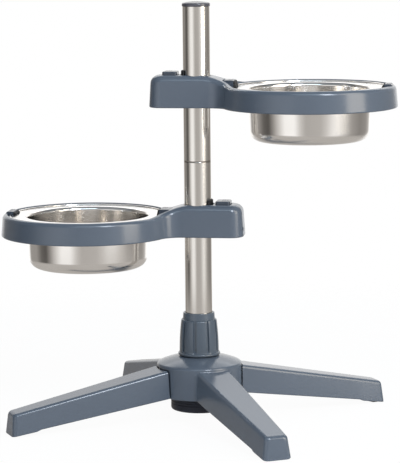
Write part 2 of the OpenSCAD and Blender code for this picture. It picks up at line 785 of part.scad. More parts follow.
// The arm's outer form: drafted sides and a rounded top edge that follows the fall
module arm_form() {
    foot = arm_plan(0);
    inner = arm_plan(1);
    n = len(foot);
    m = (n - 1) / 2;
    low_rings = [for (a = [0, 45, 90]) [for (p = arm_plan(arm_foot_r * (1 - sin(a))))
        [p[0], p[1], arm_foot_r * (1 - cos(a))]]];
    round_rings = [for (k = [0:round_n]) let (a = 90 * k / round_n) [for (i = [0:n - 1])
        let (p = foot[i], r = edge_r(p[0]), q = p + (inner[i] - p) * (arm_draft + r * (1 - cos(a))))
        [q[0], q[1], arm_top(p[0]) - r * (1 - sin(a))]]];
    strips = [for (i = [1:m - 1]) each [[n - i, n - i - 1, i + 1], [n - i, i + 1, i]]];
    loft(concat(low_rings, round_rings), concat([[n - 1, 1, 0]], strips));
}

// A latch's slot in the deck, and the room that the latch fills in the rim
module latch_room(back) {
    room = latch_w + 2 * gap;
    translate([latch_tip_off, -room / 2, seat_z]) cube([back + gap - latch_tip_off, room, block_h]);
    translate([back - tip_l - foot_l - latch_travel - 2 * gap, -foot_w / 2 - gap, deck_z - 1])
        cube([foot_l + latch_travel + 2 * gap, foot_w + 2 * gap, arm_wall + 2]);
}
module to_ring(side) translate([ring_off, 0, 0]) rotate(side > 0 ? 0 : 180) children();

// The plan sector that the brake shoe's pad fills
module shoe_wedge(half) {
    far = 2 * shoe_out_r;
    polygon([[0, 0], [-far * cos(half), far * sin(half)], [-far, 0], [-far * cos(half), -far * sin(half)]]);
}

// Plan of the clamp block's pocket, drawn in by a distance, up to a front
module pocket_plan(d, front) {
    r = pocket_r - d;
    end = pocket_end - d;
    half = pocket_half - d;
    translate([r - end, -half]) square([end - r + front, 2 * half]);
    translate([-end, r - half]) square([r + eps, 2 * (half - r)]);
    for (y = [-1, 1]) translate([r - end, y * (half - r)]) circle(r);
}

// Space inside the clamp block for the button and brake
module brake_room() {
    difference() {
        union() {
            translate([0, 0, cover_t]) linear_extrude(pocket_shelf_z - cover_t) pocket_plan(0, 0);
            translate([0, 0, cover_t]) linear_extrude(roof_z - cover_t) pocket_plan(pocket_step, 0);
        }
        translate([0, 0, -1]) cylinder(r = boss_r, h = big);
        translate([-boss_r / 2, -block_half, -1]) cube([boss_r, block_w, big]);
    }
    translate([-boss_r - shoe_travel - riser_t, -finger_off - gap, tail_z - gap])
        cube([boss_r, 2 * (finger_off + gap), roof_z - tail_z + gap]);
    translate([0, 0, shoulder_z]) intersection() {
        translate([-shoe_travel, 0, 0]) cylinder(r = shoe_out_r + gap, h = block_h);
        linear_extrude(block_h) shoe_wedge(shoe_half + shoe_play);
    }
    translate([-button_off, 0, roof_z - 1]) linear_extrude(block_top_t + 2)
        round_rect(button_l + 2 * gap, button_w + 2 * gap, button_r + gap);
}

// Underside of the ring and neck, open below
module ring_channel() {
    difference() {
        union() {
            translate([ring_off, 0, -1]) cylinder(r = channel_out_r, h = deck_z + 1, $fn = 128);
            translate([boss_r + arm_wall, -pocket_half, -1])
                cube([ring_off - ring_r, 2 * pocket_half, deck_z + 1]);
        }
        translate([ring_off, 0, -2]) cylinder(r = channel_in_r, h = big, $fn = 128);
    }
}

module arm() color(slate)
    difference() {
        arm_form();
        translate([ring_off, 0, seat_z]) cylinder(r = recess_r, h = block_h, $fn = 128);
        translate([ring_off, 0, -1]) cylinder(r = opening_r, h = block_h, $fn = 128);
        ring_channel();
        translate([0, 0, -1]) cylinder(r = bore_r, h = shoulder_z + 1);
        cylinder(r = mouth_r, h = big);
        brake_room();
        translate([0, 0, -1]) linear_extrude(cover_t + 1) pocket_plan(0, cover_front);
        to_ring(-1) latch_room(near_latch_back);
        to_ring(1) latch_room(far_latch_back);
        for (y = [-0.5, 0.5]) translate([-block_end - 1, y * end_screw_pitch, end_screw_z])
            rotate([0, 90, 0]) {
                cylinder(r = end_screw_d / 2 + gap / 2, h = block_end - pocket_end + 2);
                cylinder(r = end_screw_d + gap / 2, h = 2 + arm_draft);
            }
    }

module cover() color(slate)
    difference() {
        union() {
            linear_extrude(cover_t) pocket_plan(fix_fit, cover_front - fix_fit);
            intersection() {
                linear_extrude(end_screw_z + lug_w / 2) pocket_plan(seat_gap, 0);
                for (y = [-0.5, 0.5]) translate([-pocket_end, y * end_screw_pitch - lug_w / 2, 0])
                    cube([lug_w, lug_w, end_screw_z + lug_w / 2]);
            }
            translate([-button_off, 0, 0]) cylinder(r = spring_d / 2 + 1, h = spring_seat_z);
        }
        translate([0, 0, -1]) cylinder(r = mouth_r, h = block_h);
        for (y = [-0.5, 0.5]) translate([-pocket_end - 1, y * end_screw_pitch, end_screw_z])
            rotate([0, 90, 0]) cylinder(r = end_screw_d / 2 + fix_fit, h = lug_w + 2);
    }

module end_screws() color(charcoal)
    for (y = [-0.5, 0.5]) translate([-block_end + arm_draft + 1 - eps, y * end_screw_pitch, end_screw_z])
        rotate([0, 90, 0]) {
            cylinder(r = end_screw_d / 2, h = end_screw_l);
            translate([0, 0, -end_screw_d / 2]) cylinder(r = end_screw_d - gap / 2, h = end_screw_d / 2);
        }

module bush() color(charcoal) tube(pole_r + run_fit, bush_r, bush_z, bush_z + bush_h);

// A slanted cam prism between two heights, centred on the button's axis at the roof
module cam(half_l, half_w, z0, z1) {
    shift = [for (z = [z0, z1]) cam_slope * (roof_z - z)];
    translate([-button_off, half_w, 0]) rotate([90, 0, 0]) linear_extrude(2 * half_w)
        polygon([[shift[0] - half_l, z0], [shift[0] + half_l, z0],
            [shift[1] + half_l, z1], [shift[1] - half_l, z1]]);
}
cam_half = 2;

module button() color(slate) {
    top = block_h + button_proud;
    stop = roof_z - seat_gap;
    translate([-button_off, 0, 0]) intersection() {
        translate([0, 0, stop - eps]) linear_extrude(top - stop + eps)
            round_rect(button_l, button_w, button_r);
        rotate([90, 0, 0]) linear_extrude(button_w, center = true) translate([0, top - button_l / 2])
            round_rect(button_l, button_l, button_edge_r);
        rotate([90, 0, 90]) linear_extrude(button_l, center = true) translate([0, top - button_w / 2])
            round_rect(button_w, button_w, button_edge_r);
    }
    translate([-button_off, 0, stop - button_flange_t]) linear_extrude(button_flange_t)
        round_rect(button_l, button_w + 4 * gap, button_r);
    for (y = [-finger_off, finger_off]) translate([0, y, 0])
        cam(cam_half, finger_t / 2, tail_z - button_travel / 2, stop - button_flange_t + eps);
}

module button_spring() color(steel) {
    r = (spring_d - spring_wire) / 2;
    z0 = spring_seat_z + spring_wire / 2 + seat_gap;
    z1 = roof_z - seat_gap - button_flange_t - spring_wire / 2 - seat_gap;
    steps = 10 * spring_turns;
    translate([-button_off, 0, 0]) loft([for (k = [0:steps])
        let (a = 360 * spring_turns * k / steps, z = z0 + (z1 - z0) * k / steps)
        [for (i = [5:-1:0]) let (w = 60 * i, rr = r + spring_wire / 2 * cos(w))
            [rr * cos(a), rr * sin(a), z + spring_wire / 2 * sin(w)]]]);
}

module shoe() color(black) {
    wide = finger_off + finger_t / 2 + gap + riser_t;
    riser_in = -bush_r - gap;
    tail_in = -boss_r - gap;
    tail_out = -button_off - spring_d / 2 - shoe_travel - 3;
    intersection() {
        tube(shoe_in_r, shoe_out_r, bridge_z, block_h + shoe_proud);
        linear_extrude(big) shoe_wedge(shoe_half);
    }
    difference() {
        union() {
            translate([tail_out, -wide, tail_z]) cube([tail_in - tail_out, 2 * wide, tail_t]);
            translate([tail_in - riser_t, -finger_off, tail_z])
                cube([riser_in - tail_in + riser_t, 2 * finger_off, tail_t]);
            translate([riser_in - riser_t, -finger_off, tail_z])
                cube([riser_t, 2 * finger_off, roof_z - gap - tail_z]);
            translate([riser_in - riser_t, -finger_off, bridge_z])
                cube([riser_t - riser_in - pole_r, 2 * finger_off, roof_z - gap - bridge_z]);
        }
        cylinder(r = shoe_in_r + shoe_t / 2, h = big);
        translate([-button_off - spring_d / 2 - gap, -spring_d / 2 - gap, 0])
            cube([spring_d + shoe_travel + 2 * gap, spring_d + 2 * gap, roof_z]);
        for (y = [-finger_off, finger_off]) translate([0, y, 0])
            cam(cam_half + gap, finger_t / 2 + gap, tail_z - 1, tail_z + tail_t + 1);
    }
}

// A latch along +X from the bowl's axis, with a guide foot under the deck
module latch(back, top) color(slate) {
    body_x = latch_tip_off + tip_l;
    step_x = latch_tip_off + latch_travel + gap;
    foot_x = back - tip_l - foot_l;
    low = deck_z - gap;
    rotate([90, 0, 0]) linear_extrude(latch_w, center = true) polygon([[body_x, tip_z],
        [step_x, tip_z], [step_x, latch_z], [back, latch_z], [back, top - latch_bevel],
        [back - latch_bevel, top], [body_x + latch_bevel, top], [body_x, top - latch_bevel]]);
    translate([foot_x, -foot_w / 2, low - tip_l]) cube([foot_l, foot_w, latch_z - low + tip_l + 1]);
    translate([foot_x, -foot_w / 2 - foot_toe, low - tip_l]) cube([foot_l, foot_w + 2 * foot_toe, tip_l]);
}
module latch_tip(top) color(black)
    rotate([90, 0, 0]) linear_extrude(latch_w - 2, center = true) polygon([[latch_tip_off, tip_z],
        [latch_tip_off + tip_l, tip_z], [latch_tip_off + tip_l, top - latch_bevel],
        [latch_tip_off + tip_l / 2, top - latch_bevel], [latch_tip_off, tip_z + latch_bevel]]);

// Bowl: a drawn steel shell about the ring's axis
module bowl_body(in) {
    lean = atan(bowl_taper / bowl_depth);
    r = bowl_foot_r - in;
    foot_z = seat_z + seat_gap - bowl_depth;
    c_z = foot_z + bowl_foot_r;
    wall_r = bowl_d / 2 - bowl_taper * (bowl_depth - bowl_foot_r) / bowl_depth;
    c_x = wall_r - bowl_foot_r / cos(lean);
    mouth = bowl_d / 2 - in / cos(lean);
    top = seat_z + seat_gap + bowl_t + 1;
    translate([c_x, c_z]) circle(r);
    translate([0, foot_z + in]) square([c_x, r]);
    polygon([[0, c_z - eps], [c_x, c_z - eps], [c_x + r * cos(lean), c_z - r * sin(lean)],
        [mouth, seat_z + seat_gap], [mouth, top], [0, top]]);
}
module bowl() color(steel) {
    low = seat_z + seat_gap;
    bend_x = bowl_d / 2 + bend_r;
    roll_x = flange_r - roll_r;
    difference() {
        translate([ring_off, 0, 0]) rotate_extrude($fn = 128) {
            difference() {
                bowl_body(0);
                bowl_body(bowl_t);
                translate([0, low - bend_r]) square([bend_x + bend_r, bowl_depth]);
            }
            intersection() {
                translate([bend_x, low - bend_r]) difference() {
                    circle(bend_r + bowl_t);
                    circle(bend_r);
                }
                translate([0, low - bend_r]) square([bend_x, bowl_depth]);
            }
            translate([bend_x - eps, low]) square([roll_x - bend_x + eps, bowl_t]);
            translate([roll_x, low + roll_r]) circle(roll_r);
        }
        for (a = [0, 180]) translate([ring_off, 0, low - bend_r]) rotate(a)
            translate([notch_r, -latch_w / 2 - 2 * gap, 0]) cube([flange_r, latch_w + 4 * gap, 3 * bend_r]);
    }
}

// Places of the two arms
module upper() translate([0, 0, upper_arm_z]) children();
module lower() translate([0, 0, lower_arm_z]) rotate(180) children();

module upper_arm() upper() arm();
module upper_cover() upper() cover();
module upper_end_screws() upper() end_screws();
module upper_bush() upper() bush();
module upper_button() upper() button();
module upper_button_spring() upper() button_spring();
module upper_shoe() upper() shoe();
module upper_near_latch() upper() to_ring(-1) latch(near_latch_back, near_latch_z);
module upper_near_tip() upper() to_ring(-1) latch_tip(near_latch_z);
module upper_far_latch() upper() to_ring(1) latch(far_latch_back, far_latch_z);
module upper_far_tip() upper() to_ring(1) latch_tip(far_latch_z);
module upper_bowl() upper() bowl();
module lower_arm() lower() arm();
module lower_cover() lower() cover();
module lower_end_screws() lower() end_screws();
module lower_bush() lower() bush();
module lower_button() lower() button();
module lower_button_spring() lower() button_spring();
module lower_shoe() lower() shoe();
module lower_near_latch() lower() to_ring(-1) latch(near_latch_back, near_latch_z);
module lower_near_tip() lower() to_ring(-1) latch_tip(near_latch_z);
module lower_far_latch() lower() to_ring(1) latch(far_latch_back, far_latch_z);
module lower_far_tip() lower() to_ring(1) latch_tip(far_latch_z);
module lower_bowl() lower() bowl();

base_hub();
side_leg_right();
side_leg_left();
leg_screws();
foot_pads();
pole_collet();
clamp_collar();
lock_knob();
knob_stud();
knob_washer();
foot_plug();
plug_insert();
lower_tube();
upper_tube();
tube_spigot();
top_cap();
upper_arm();
upper_cover();
upper_end_screws();
upper_bush();
upper_button();
upper_button_spring();
upper_shoe();
upper_near_latch();
upper_near_tip();
upper_far_latch();
upper_far_tip();
upper_bowl();
lower_arm();
lower_cover();
lower_end_screws();
lower_bush();
lower_button();
lower_button_spring();
lower_shoe();
lower_near_latch();
lower_near_tip();
lower_far_latch();
lower_far_tip();
lower_bowl();
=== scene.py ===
"""Looks of a pet feeder stand: a four-legged base, a steel pole and two arms that carry lift-out bowls.

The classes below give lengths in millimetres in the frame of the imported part, +Z up, with the origin on the
floor under the pole. Meshes are made in metres.
"""
from __future__ import annotations

import logging
import math
from abc import ABC, abstractmethod
from collections.abc import Callable, Sequence
from dataclasses import dataclass
from enum import Enum
from functools import cache
from typing import Any

import bmesh
import bpy
from mathutils import Matrix, Vector


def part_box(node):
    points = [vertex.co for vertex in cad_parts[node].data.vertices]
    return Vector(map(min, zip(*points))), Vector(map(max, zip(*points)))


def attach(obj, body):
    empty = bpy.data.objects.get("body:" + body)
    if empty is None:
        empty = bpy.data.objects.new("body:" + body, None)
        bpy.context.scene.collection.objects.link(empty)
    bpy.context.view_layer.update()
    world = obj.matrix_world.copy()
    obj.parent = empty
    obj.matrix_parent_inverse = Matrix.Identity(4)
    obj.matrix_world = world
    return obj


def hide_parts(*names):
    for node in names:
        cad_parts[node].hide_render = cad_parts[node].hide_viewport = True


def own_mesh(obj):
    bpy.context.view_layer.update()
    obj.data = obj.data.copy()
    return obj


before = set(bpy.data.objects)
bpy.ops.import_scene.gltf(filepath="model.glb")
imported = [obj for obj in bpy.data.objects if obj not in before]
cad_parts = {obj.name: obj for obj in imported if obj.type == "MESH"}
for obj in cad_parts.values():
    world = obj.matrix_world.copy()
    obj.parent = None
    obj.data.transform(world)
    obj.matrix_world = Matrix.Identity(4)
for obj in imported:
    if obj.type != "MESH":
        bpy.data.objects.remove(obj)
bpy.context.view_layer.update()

MM = 0.001
LOG = logging.getLogger("feeder_stand")

# How far a cut runs past the face that it opens, and the height of the pole's seam
OVER = 1.0
SEAM_Z = 370.5

Point2 = tuple[float, float]
Point3 = tuple[float, float, float]
Colour = tuple[float, float, float, float]

WHITE: Colour = (1, 1, 1, 1)


class Combine(Enum):
    """How one mesh works on another."""

    CUT = "DIFFERENCE"
    JOIN = "UNION"
    MEET = "INTERSECT"


class Side(Enum):
    """The two arms, by the prefix of their nodes and bodies."""

    UPPER = "upper"
    LOWER = "lower"


# Outlines


def arc(centre: Point2, radius: float, start: float, end: float, steps: int) -> list[Point2]:
    """Points along an arc.

    Args:
        centre: Middle of the arc.
        radius: Radius of the arc.
        start: First angle in degrees.
        end: Last angle in degrees.
        steps: Number of equal steps.

    Returns:
        The points, both ends included.
    """
    angles = [math.radians(start + (end - start) * i / steps) for i in range(steps + 1)]
    return [(centre[0] + radius * math.cos(a), centre[1] + radius * math.sin(a)) for a in angles]


def rounded(corners: Sequence[tuple[float, float, float]], steps: int = 6) -> list[Point2]:
    """A closed outline with an arc at each corner.

    Args:
        corners: For each corner its place and its radius, where 0 is a sharp corner.
        steps: Number of steps in each arc.

    Returns:
        The outline's points.
    """
    outline: list[Point2] = []
    for i, (x, y, radius) in enumerate(corners):
        here = Vector((x, y))
        if radius <= 0:
            outline.append((x, y))
            continue
        back = (Vector(corners[i - 1][:2]) - here).normalized()
        ahead = (Vector(corners[(i + 1) % len(corners)][:2]) - here).normalized()
        half = back.angle(ahead) / 2
        centre = here + (back + ahead).normalized() * radius / math.sin(half)
        first = here + back * radius / math.tan(half) - centre
        last = here + ahead * radius / math.tan(half) - centre
        turn = math.atan2(first.x * last.y - first.y * last.x, first.dot(last))
        start = math.degrees(math.atan2(first.y, first.x))
        outline += arc((centre.x, centre.y), radius, start, start + math.degrees(turn), steps)
    return outline


def round_rect(length: float, width: float, radius: float, steps: int = 8) -> list[Point2]:
    """A centred rectangle with round corners, counter-clockwise."""
    x, y = length / 2, width / 2
    return rounded([(x, -y, radius), (x, y, radius), (-x, y, radius), (-x, -y, radius)], steps)


def smooth_step(value: float) -> float:
    """A soft step from 0 to 1."""
    t = min(max(value, 0.0), 1.0)
    return t * t * (3 - 2 * t)


# Meshes


@dataclass
class Skin:
    """A closed skin: points in millimetres and the faces between them."""

    points: list[Point3]
    faces: list[tuple[int, ...]]

    @classmethod
    def loft(cls, rings: Sequence[Sequence[Point3]], caps: Sequence[tuple[int, ...]] | None = None) -> Skin:
        """A skin through equal rings of points.

        Args:
            rings: Closed rings with the same number of points.
            caps: Faces that close a ring, by index in the ring, where one flat face won't do.

        Returns:
            The closed skin.
        """
        n = len(rings[0])
        last = (len(rings) - 1) * n
        faces: list[tuple[int, ...]] = []
        for k in range(len(rings) - 1):
            low, high = k * n, (k + 1) * n
            faces += [(low + i, low + (i + 1) % n, high + (i + 1) % n, high + i) for i in range(n)]
        faces.append(tuple(reversed(range(n))))
        faces += [tuple(last + i for i in cap) for cap in (caps or [tuple(range(n))])]
        return cls([point for ring in rings for point in ring], faces)

    @classmethod
    def spin(cls, profile: Sequence[Point2], steps: int) -> Skin:
        """Turns a closed outline of radius and height about Z."""
        return cls.spin_by([[(r, z)] * steps for r, z in profile])

    @classmethod
    def spin_by(cls, rows: Sequence[Sequence[Point2]]) -> Skin:
        """A closed body of revolution whose radius may change round the axis.

        Args:
            rows: For each point of the profile, its radius and height at equal steps round Z.

        Returns:
            The closed skin.
        """
        n, steps = len(rows), len(rows[0])
        turns = [2 * math.pi * k / steps for k in range(steps)]
        points = [(rows[i][k][0] * math.cos(a), rows[i][k][0] * math.sin(a), rows[i][k][1])
                  for k, a in enumerate(turns) for i in range(n)]
        faces = []
        for k in range(steps):
            here, there = k * n, (k + 1) % steps * n
            faces += [(here + i, there + i, there + (i + 1) % n, here + (i + 1) % n) for i in range(n)]
        return cls(points, faces)

    @classmethod
    def prism(cls, outline: Sequence[Point2], low: float, high: float) -> Skin:
        """An outline in plan raised from one height to another."""
        return cls.loft([[(x, y, z) for x, y in outline] for z in (low, high)])

    @classmethod
    def rod(cls, radius: float, low: float, high: float, steps: int) -> Skin:
        """A round bar about Z from one height to another."""
        return cls.prism(arc((0, 0), radius, 0, 360, steps)[:-1], low, high)

    @classmethod
    def drum(cls, radius: float, low: float, high: float, steps: int) -> Skin:
        """A round cutter about Z, with its ends drawn to the axis."""
        return cls.spin([(0, low), (radius, low), (radius, high), (0, high)], steps)

    @classmethod
    def box(cls, low: Point3, high: Point3) -> Skin:
        """A block between two corners."""
        (x0, y0, z0), (x1, y1, z1) = low, high
        return cls.prism([(x0, y0), (x1, y0), (x1, y1), (x0, y1)], z0, z1)

    @classmethod
    def flared(cls, outline: Callable[[float], list[Point2]], low: float, flare: float,
               top: Callable[[float], float], over: float = 20, steps: int = 5) -> Skin:
        """A cutter whose mouth rounds outward where it breaks a top surface.

        Args:
            outline: The outline in plan, let out by a distance.
            low: Height of the cutter's floor.
            flare: Radius of the rounded mouth.
            top: Height of the surface at a place along X.
            over: How far the cutter stands over the surface.
            steps: Number of steps in the rounding.

        Returns:
            The cutter.
        """
        plain = outline(0)
        rings = [[(x, y, low) for x, y in plain]]
        for k in range(steps + 1):
            a = math.pi / 2 * k / steps
            wide = outline(flare * (1 - math.cos(a)))
            rings.append([(x, y, top(p[0]) - flare * (1 - math.sin(a))) for (x, y), p in zip(wide, plain)])
        rings.append([(x, y, top(p[0]) + over) for (x, y), p in zip(outline(flare), plain)])
        return cls.loft(rings)

    def at(self, place: Matrix) -> Skin:
        """The same skin at another place, given in millimetres."""
        return Skin([tuple(place @ Vector(point)) for point in self.points], self.faces)


def moved(x: float = 0, y: float = 0, z: float = 0, turn: float = 0) -> Matrix:
    """A turn about Z in degrees, then a move."""
    return Matrix.Translation((x, y, z)) @ Matrix.Rotation(math.radians(turn), 4, "Z")


def pointing(axis: str, angle: float) -> Matrix:
    """A turn in degrees about one axis."""
    return Matrix.Rotation(math.radians(angle), 4, axis)


class Piece:
    """A mesh object while it is shaped."""

    def __init__(self, name: str, *skins: Skin) -> None:
        """Makes one object of one or more separate skins.

        Args:
            name: Name of the object.
            skins: The closed skins.
        """
        shape = bmesh.new()
        for skin in skins:
            points = [shape.verts.new(Vector(p) * MM) for p in skin.points]
            for face in skin.faces:
                shape.faces.new([points[i] for i in face])
        bmesh.ops.remove_doubles(shape, verts=shape.verts, dist=1e-7)
        bmesh.ops.recalc_face_normals(shape, faces=shape.faces)
        mesh = bpy.data.meshes.new(name)
        shape.to_mesh(mesh)
        shape.free()
        self.object = bpy.data.objects.new(name, mesh)
        bpy.context.scene.collection.objects.link(self.object)

    def _settle(self) -> None:
        """Makes the modifiers' result the mesh."""
        graph = bpy.context.evaluated_depsgraph_get()
        result = bpy.data.meshes.new_from_object(self.object.evaluated_get(graph))
        old = self.object.data
        self.object.modifiers.clear()
        self.object.data = result
        bpy.data.meshes.remove(old)
        result.name = self.object.name

    def combine(self, how: Combine, other: Piece | Skin) -> Piece:
        """Cuts, joins or meets this piece with another, which is used up.

        Args:
            how: What to do.
            other: The other piece or skin.

        Returns:
            This piece.
        """
        tool = other if isinstance(other, Piece) else Piece("tool", other)
        step = self.object.modifiers.new("combine", "BOOLEAN")
        step.operation = how.value
        step.solver = "MANIFOLD"
        step.object = tool.object
        self._settle()
        bpy.data.objects.remove(tool.object)
        return self

    def cut(self, *tools: Piece | Skin) -> Piece:
        """Takes the tools away from this piece."""
        for tool in tools:
            self.combine(Combine.CUT, tool)
        return self

    def join(self, *tools: Piece | Skin) -> Piece:
        """Adds the tools to this piece."""
        for tool in tools:
            self.combine(Combine.JOIN, tool)
        return self

    def at(self, place: Matrix) -> Piece:
        """Moves the shape to a place given in millimetres."""
        self.object.data.transform(Matrix.Scale(MM, 4) @ place @ Matrix.Scale(1 / MM, 4))
        return self

    def soften(self, width: float, steps: int, angle: float) -> Piece:
        """Rounds the edges that are sharper than an angle.

        Args:
            width: Width of the rounding.
            steps: Number of steps in the rounding.
            angle: Least angle of an edge, in degrees.

        Returns:
            This piece.
        """
        step = self.object.modifiers.new("soften", "BEVEL")
        step.width = width * MM
        step.segments = steps
        step.limit_method = "ANGLE"
        step.angle_limit = math.radians(angle)
        step.harden_normals = False
        self._settle()
        return self

    def hand_over(self, finish: Finish, body: str, node: str, crease: float = 32) -> bpy.types.Object:
        """Dresses the piece and puts it in the place of a node.

        Args:
            finish: The finish that it wears.
            body: The body that it moves with.
            node: The node that it stands for.
            crease: Least angle of an edge that stays sharp, in degrees.

        Returns:
            The finished object.
        """
        mesh = self.object.data
        mesh.shade_smooth()
        mesh.set_sharp_from_angle(angle=math.radians(crease))
        mesh.materials.clear()
        mesh.materials.append(finish.material())
        weighted = self.object.modifiers.new("even_normals", "WEIGHTED_NORMAL")
        weighted.keep_sharp = True
        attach(self.object, body)
        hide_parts(node)
        LOG.info("%s stands for %s with %d faces", self.object.name, node, len(mesh.polygons))
        return self.object


# Shader graphs


def arithmetic(operation: str, swapped: bool = False) -> Callable[[Wire, Wire | float], Wire]:
    """A method that works on a wire and another value.

    Args:
        operation: What the Math node does.
        swapped: Whether the other value comes first.

    Returns:
        The method.
    """
    def work(wire: Wire, other: Wire | float) -> Wire:
        """Adds the Math node."""
        first, second = (other, wire) if swapped else (wire, other)
        return wire.graph.node("ShaderNodeMath", {"operation": operation}, {0: first, 1: second})
    return work


class Wire:
    """An output socket, with arithmetic that adds Math nodes."""

    def __init__(self, graph: Graph, socket: bpy.types.NodeSocket) -> None:
        """Keeps the graph and the socket."""
        self.graph = graph
        self.socket = socket

    __add__ = arithmetic("ADD")
    __radd__ = arithmetic("ADD", swapped=True)
    __sub__ = arithmetic("SUBTRACT")
    __rsub__ = arithmetic("SUBTRACT", swapped=True)
    __mul__ = arithmetic("MULTIPLY")
    __rmul__ = arithmetic("MULTIPLY", swapped=True)
    __truediv__ = arithmetic("DIVIDE")
    larger = arithmetic("MAXIMUM")
    bearing = arithmetic("ARCTAN2")

    def step(self, low: float, high: float) -> Wire:
        """A soft step from 0 at low to 1 at high."""
        return self.graph.node("ShaderNodeMapRange", {"interpolation_type": "SMOOTHSTEP"},
                               {"Value": self, "From Min": low, "From Max": high})


class Graph:
    """The node tree of one material or world."""

    def __init__(self, tree: bpy.types.NodeTree) -> None:
        """Empties the tree."""
        self.tree = tree
        tree.nodes.clear()

    def node(self, kind: str, settings: dict[str, Any] | None = None,
             sockets: dict[str | int, Any] | None = None, output: str | int = 0) -> Wire:
        """Adds a node.

        Args:
            kind: Type of the node.
            settings: What is set on the node first, with a ramp's stops as pairs of place and colour.
            sockets: Values or links of its input sockets, by name or number.
            output: The output socket to hand back.

        Returns:
            That output.
        """
        made = self.tree.nodes.new(kind)
        for name, value in (settings or {}).items():
            if name == "stops":
                self._set_stops(made.color_ramp, value)
            else:
                setattr(made, name, value)
        for key, value in (sockets or {}).items():
            if isinstance(value, Wire):
                self.tree.links.new(value.socket, made.inputs[key])
            else:
                made.inputs[key].default_value = value
        return Wire(self, made.outputs[output])

    @staticmethod
    def _set_stops(ramp: bpy.types.ColorRamp, stops: Sequence[tuple[float, Colour]]) -> None:
        """Gives a ramp its stops, of which there are at least two."""
        while len(ramp.elements) < len(stops):
            ramp.elements.new(0.5)
        for element, (place, colour) in zip(ramp.elements, stops):
            element.position = place
            element.color = colour

    def place(self) -> Wire:
        """Place on the piece, in metres."""
        return self.node("ShaderNodeTexCoord", output="Object")

    def stretched(self, vector: Wire, scale: Point3) -> Wire:
        """A vector scaled along its axes."""
        return self.node("ShaderNodeVectorMath", {"operation": "MULTIPLY"}, {0: vector, 1: scale})

    def noise(self, vector: Wire, scale: float, detail: float = 2, rough: float = 0.5) -> Wire:
        """Noise from 0 to 1 with so many waves in a metre."""
        return self.node("ShaderNodeTexNoise", None,
                         {"Vector": vector, "Scale": scale, "Detail": detail, "Roughness": rough})

    def mix(self, share: Wire | float, first: Wire | Colour, second: Wire | Colour) -> Wire:
        """A colour between two others."""
        return self.node("ShaderNodeMix", {"data_type": "RGBA"}, {0: share, 6: first, 7: second}, 2)

    def part(self, vector: Wire, axis: str) -> Wire:
        """One coordinate of a vector."""
        return self.node("ShaderNodeSeparateXYZ", None, {0: vector}, axis)

    def length(self, vector: Wire) -> Wire:
        """Length of a vector."""
        return self.node("ShaderNodeVectorMath", {"operation": "LENGTH"}, {0: vector}, "Value")

    def facing_down(self) -> Wire:
        """1 where the surface faces straight down, -1 where it faces up."""
        return 0 - self.part(self.node("ShaderNodeNewGeometry", output="Normal"), "Z")

    def ray(self, kind: str) -> Wire:
        """1 for rays of a kind, such as Camera."""
        return self.node("ShaderNodeLightPath", output=f"Is {kind} Ray")

    def blend(self, share: Wire, first: Wire, second: Wire) -> Wire:
        """A shader between two others."""
        return self.node("ShaderNodeMixShader", None, {0: share, 1: first, 2: second})

    def edges(self, low: float, high: float) -> Wire:
        """1 along outward edges, 0 on flat ground."""
        return self.node("ShaderNodeNewGeometry", output="Pointiness").step(low, high)

    def bump(self, height: Wire, depth: float, strength: float = 1.0) -> Wire:
        """A normal that follows a height, with its depth in metres."""
        return self.node("ShaderNodeBump", None, {"Height": height, "Distance": depth, "Strength": strength})

    def surface(self, sockets: dict[str, Any]) -> None:
        """Ends a material in one Principled shader."""
        shader = self.node("ShaderNodeBsdfPrincipled", None, sockets)
        self.node_end(shader)

    def node_end(self, shader: Wire) -> None:
        """Links a shader to the material's output."""
        end = self.tree.nodes.new("ShaderNodeOutputMaterial")
        self.tree.links.new(shader.socket, end.inputs["Surface"])


# Finishes


@dataclass(frozen=True)
class Finish(ABC):
    """A surface finish, which makes one material."""

    slot: str

    @cache
    def material(self) -> bpy.types.Material:
        """Makes the material the first time that it is asked for."""
        made = bpy.data.materials.new(f"{self.slot}_finish")
        made.use_nodes = True
        self.shade(Graph(made.node_tree))
        return made

    @abstractmethod
    def shade(self, graph: Graph) -> None:
        """Builds the material's nodes."""


@dataclass(frozen=True)
class MouldedPlastic(Finish):
    """Satin moulded plastic: faint flow clouds, and a spark-eroded grain with paler specks."""

    deep: Colour
    pale: Colour
    speck: Colour
    roughness: float
    gloss: float = 0.5
    grain: float = 1500.0
    grain_depth: float = 0.000012

    def shade(self, graph: Graph) -> None:
        """Builds the material's nodes."""
        place = graph.place()
        cloud = graph.noise(place, 14, 3)
        flow = graph.noise(graph.stretched(place, (9, 9, 5)), 1, 3, 0.5)
        grain = graph.noise(place, self.grain, 2, 0.6)
        ground = graph.mix((cloud * 0.6 + flow * 0.4).step(0.3, 0.7), self.deep, self.pale)
        graph.surface({
            "Base Color": graph.mix(grain.step(0.55, 0.8) * 0.08, ground, self.speck),
            "Roughness": self.roughness + (flow - 0.5) * 0.03 + (grain - 0.5) * 0.06,
            "IOR": 1.55,
            "Specular IOR Level": self.gloss,
            "Normal": graph.bump(grain, self.grain_depth, 0.5),
        })


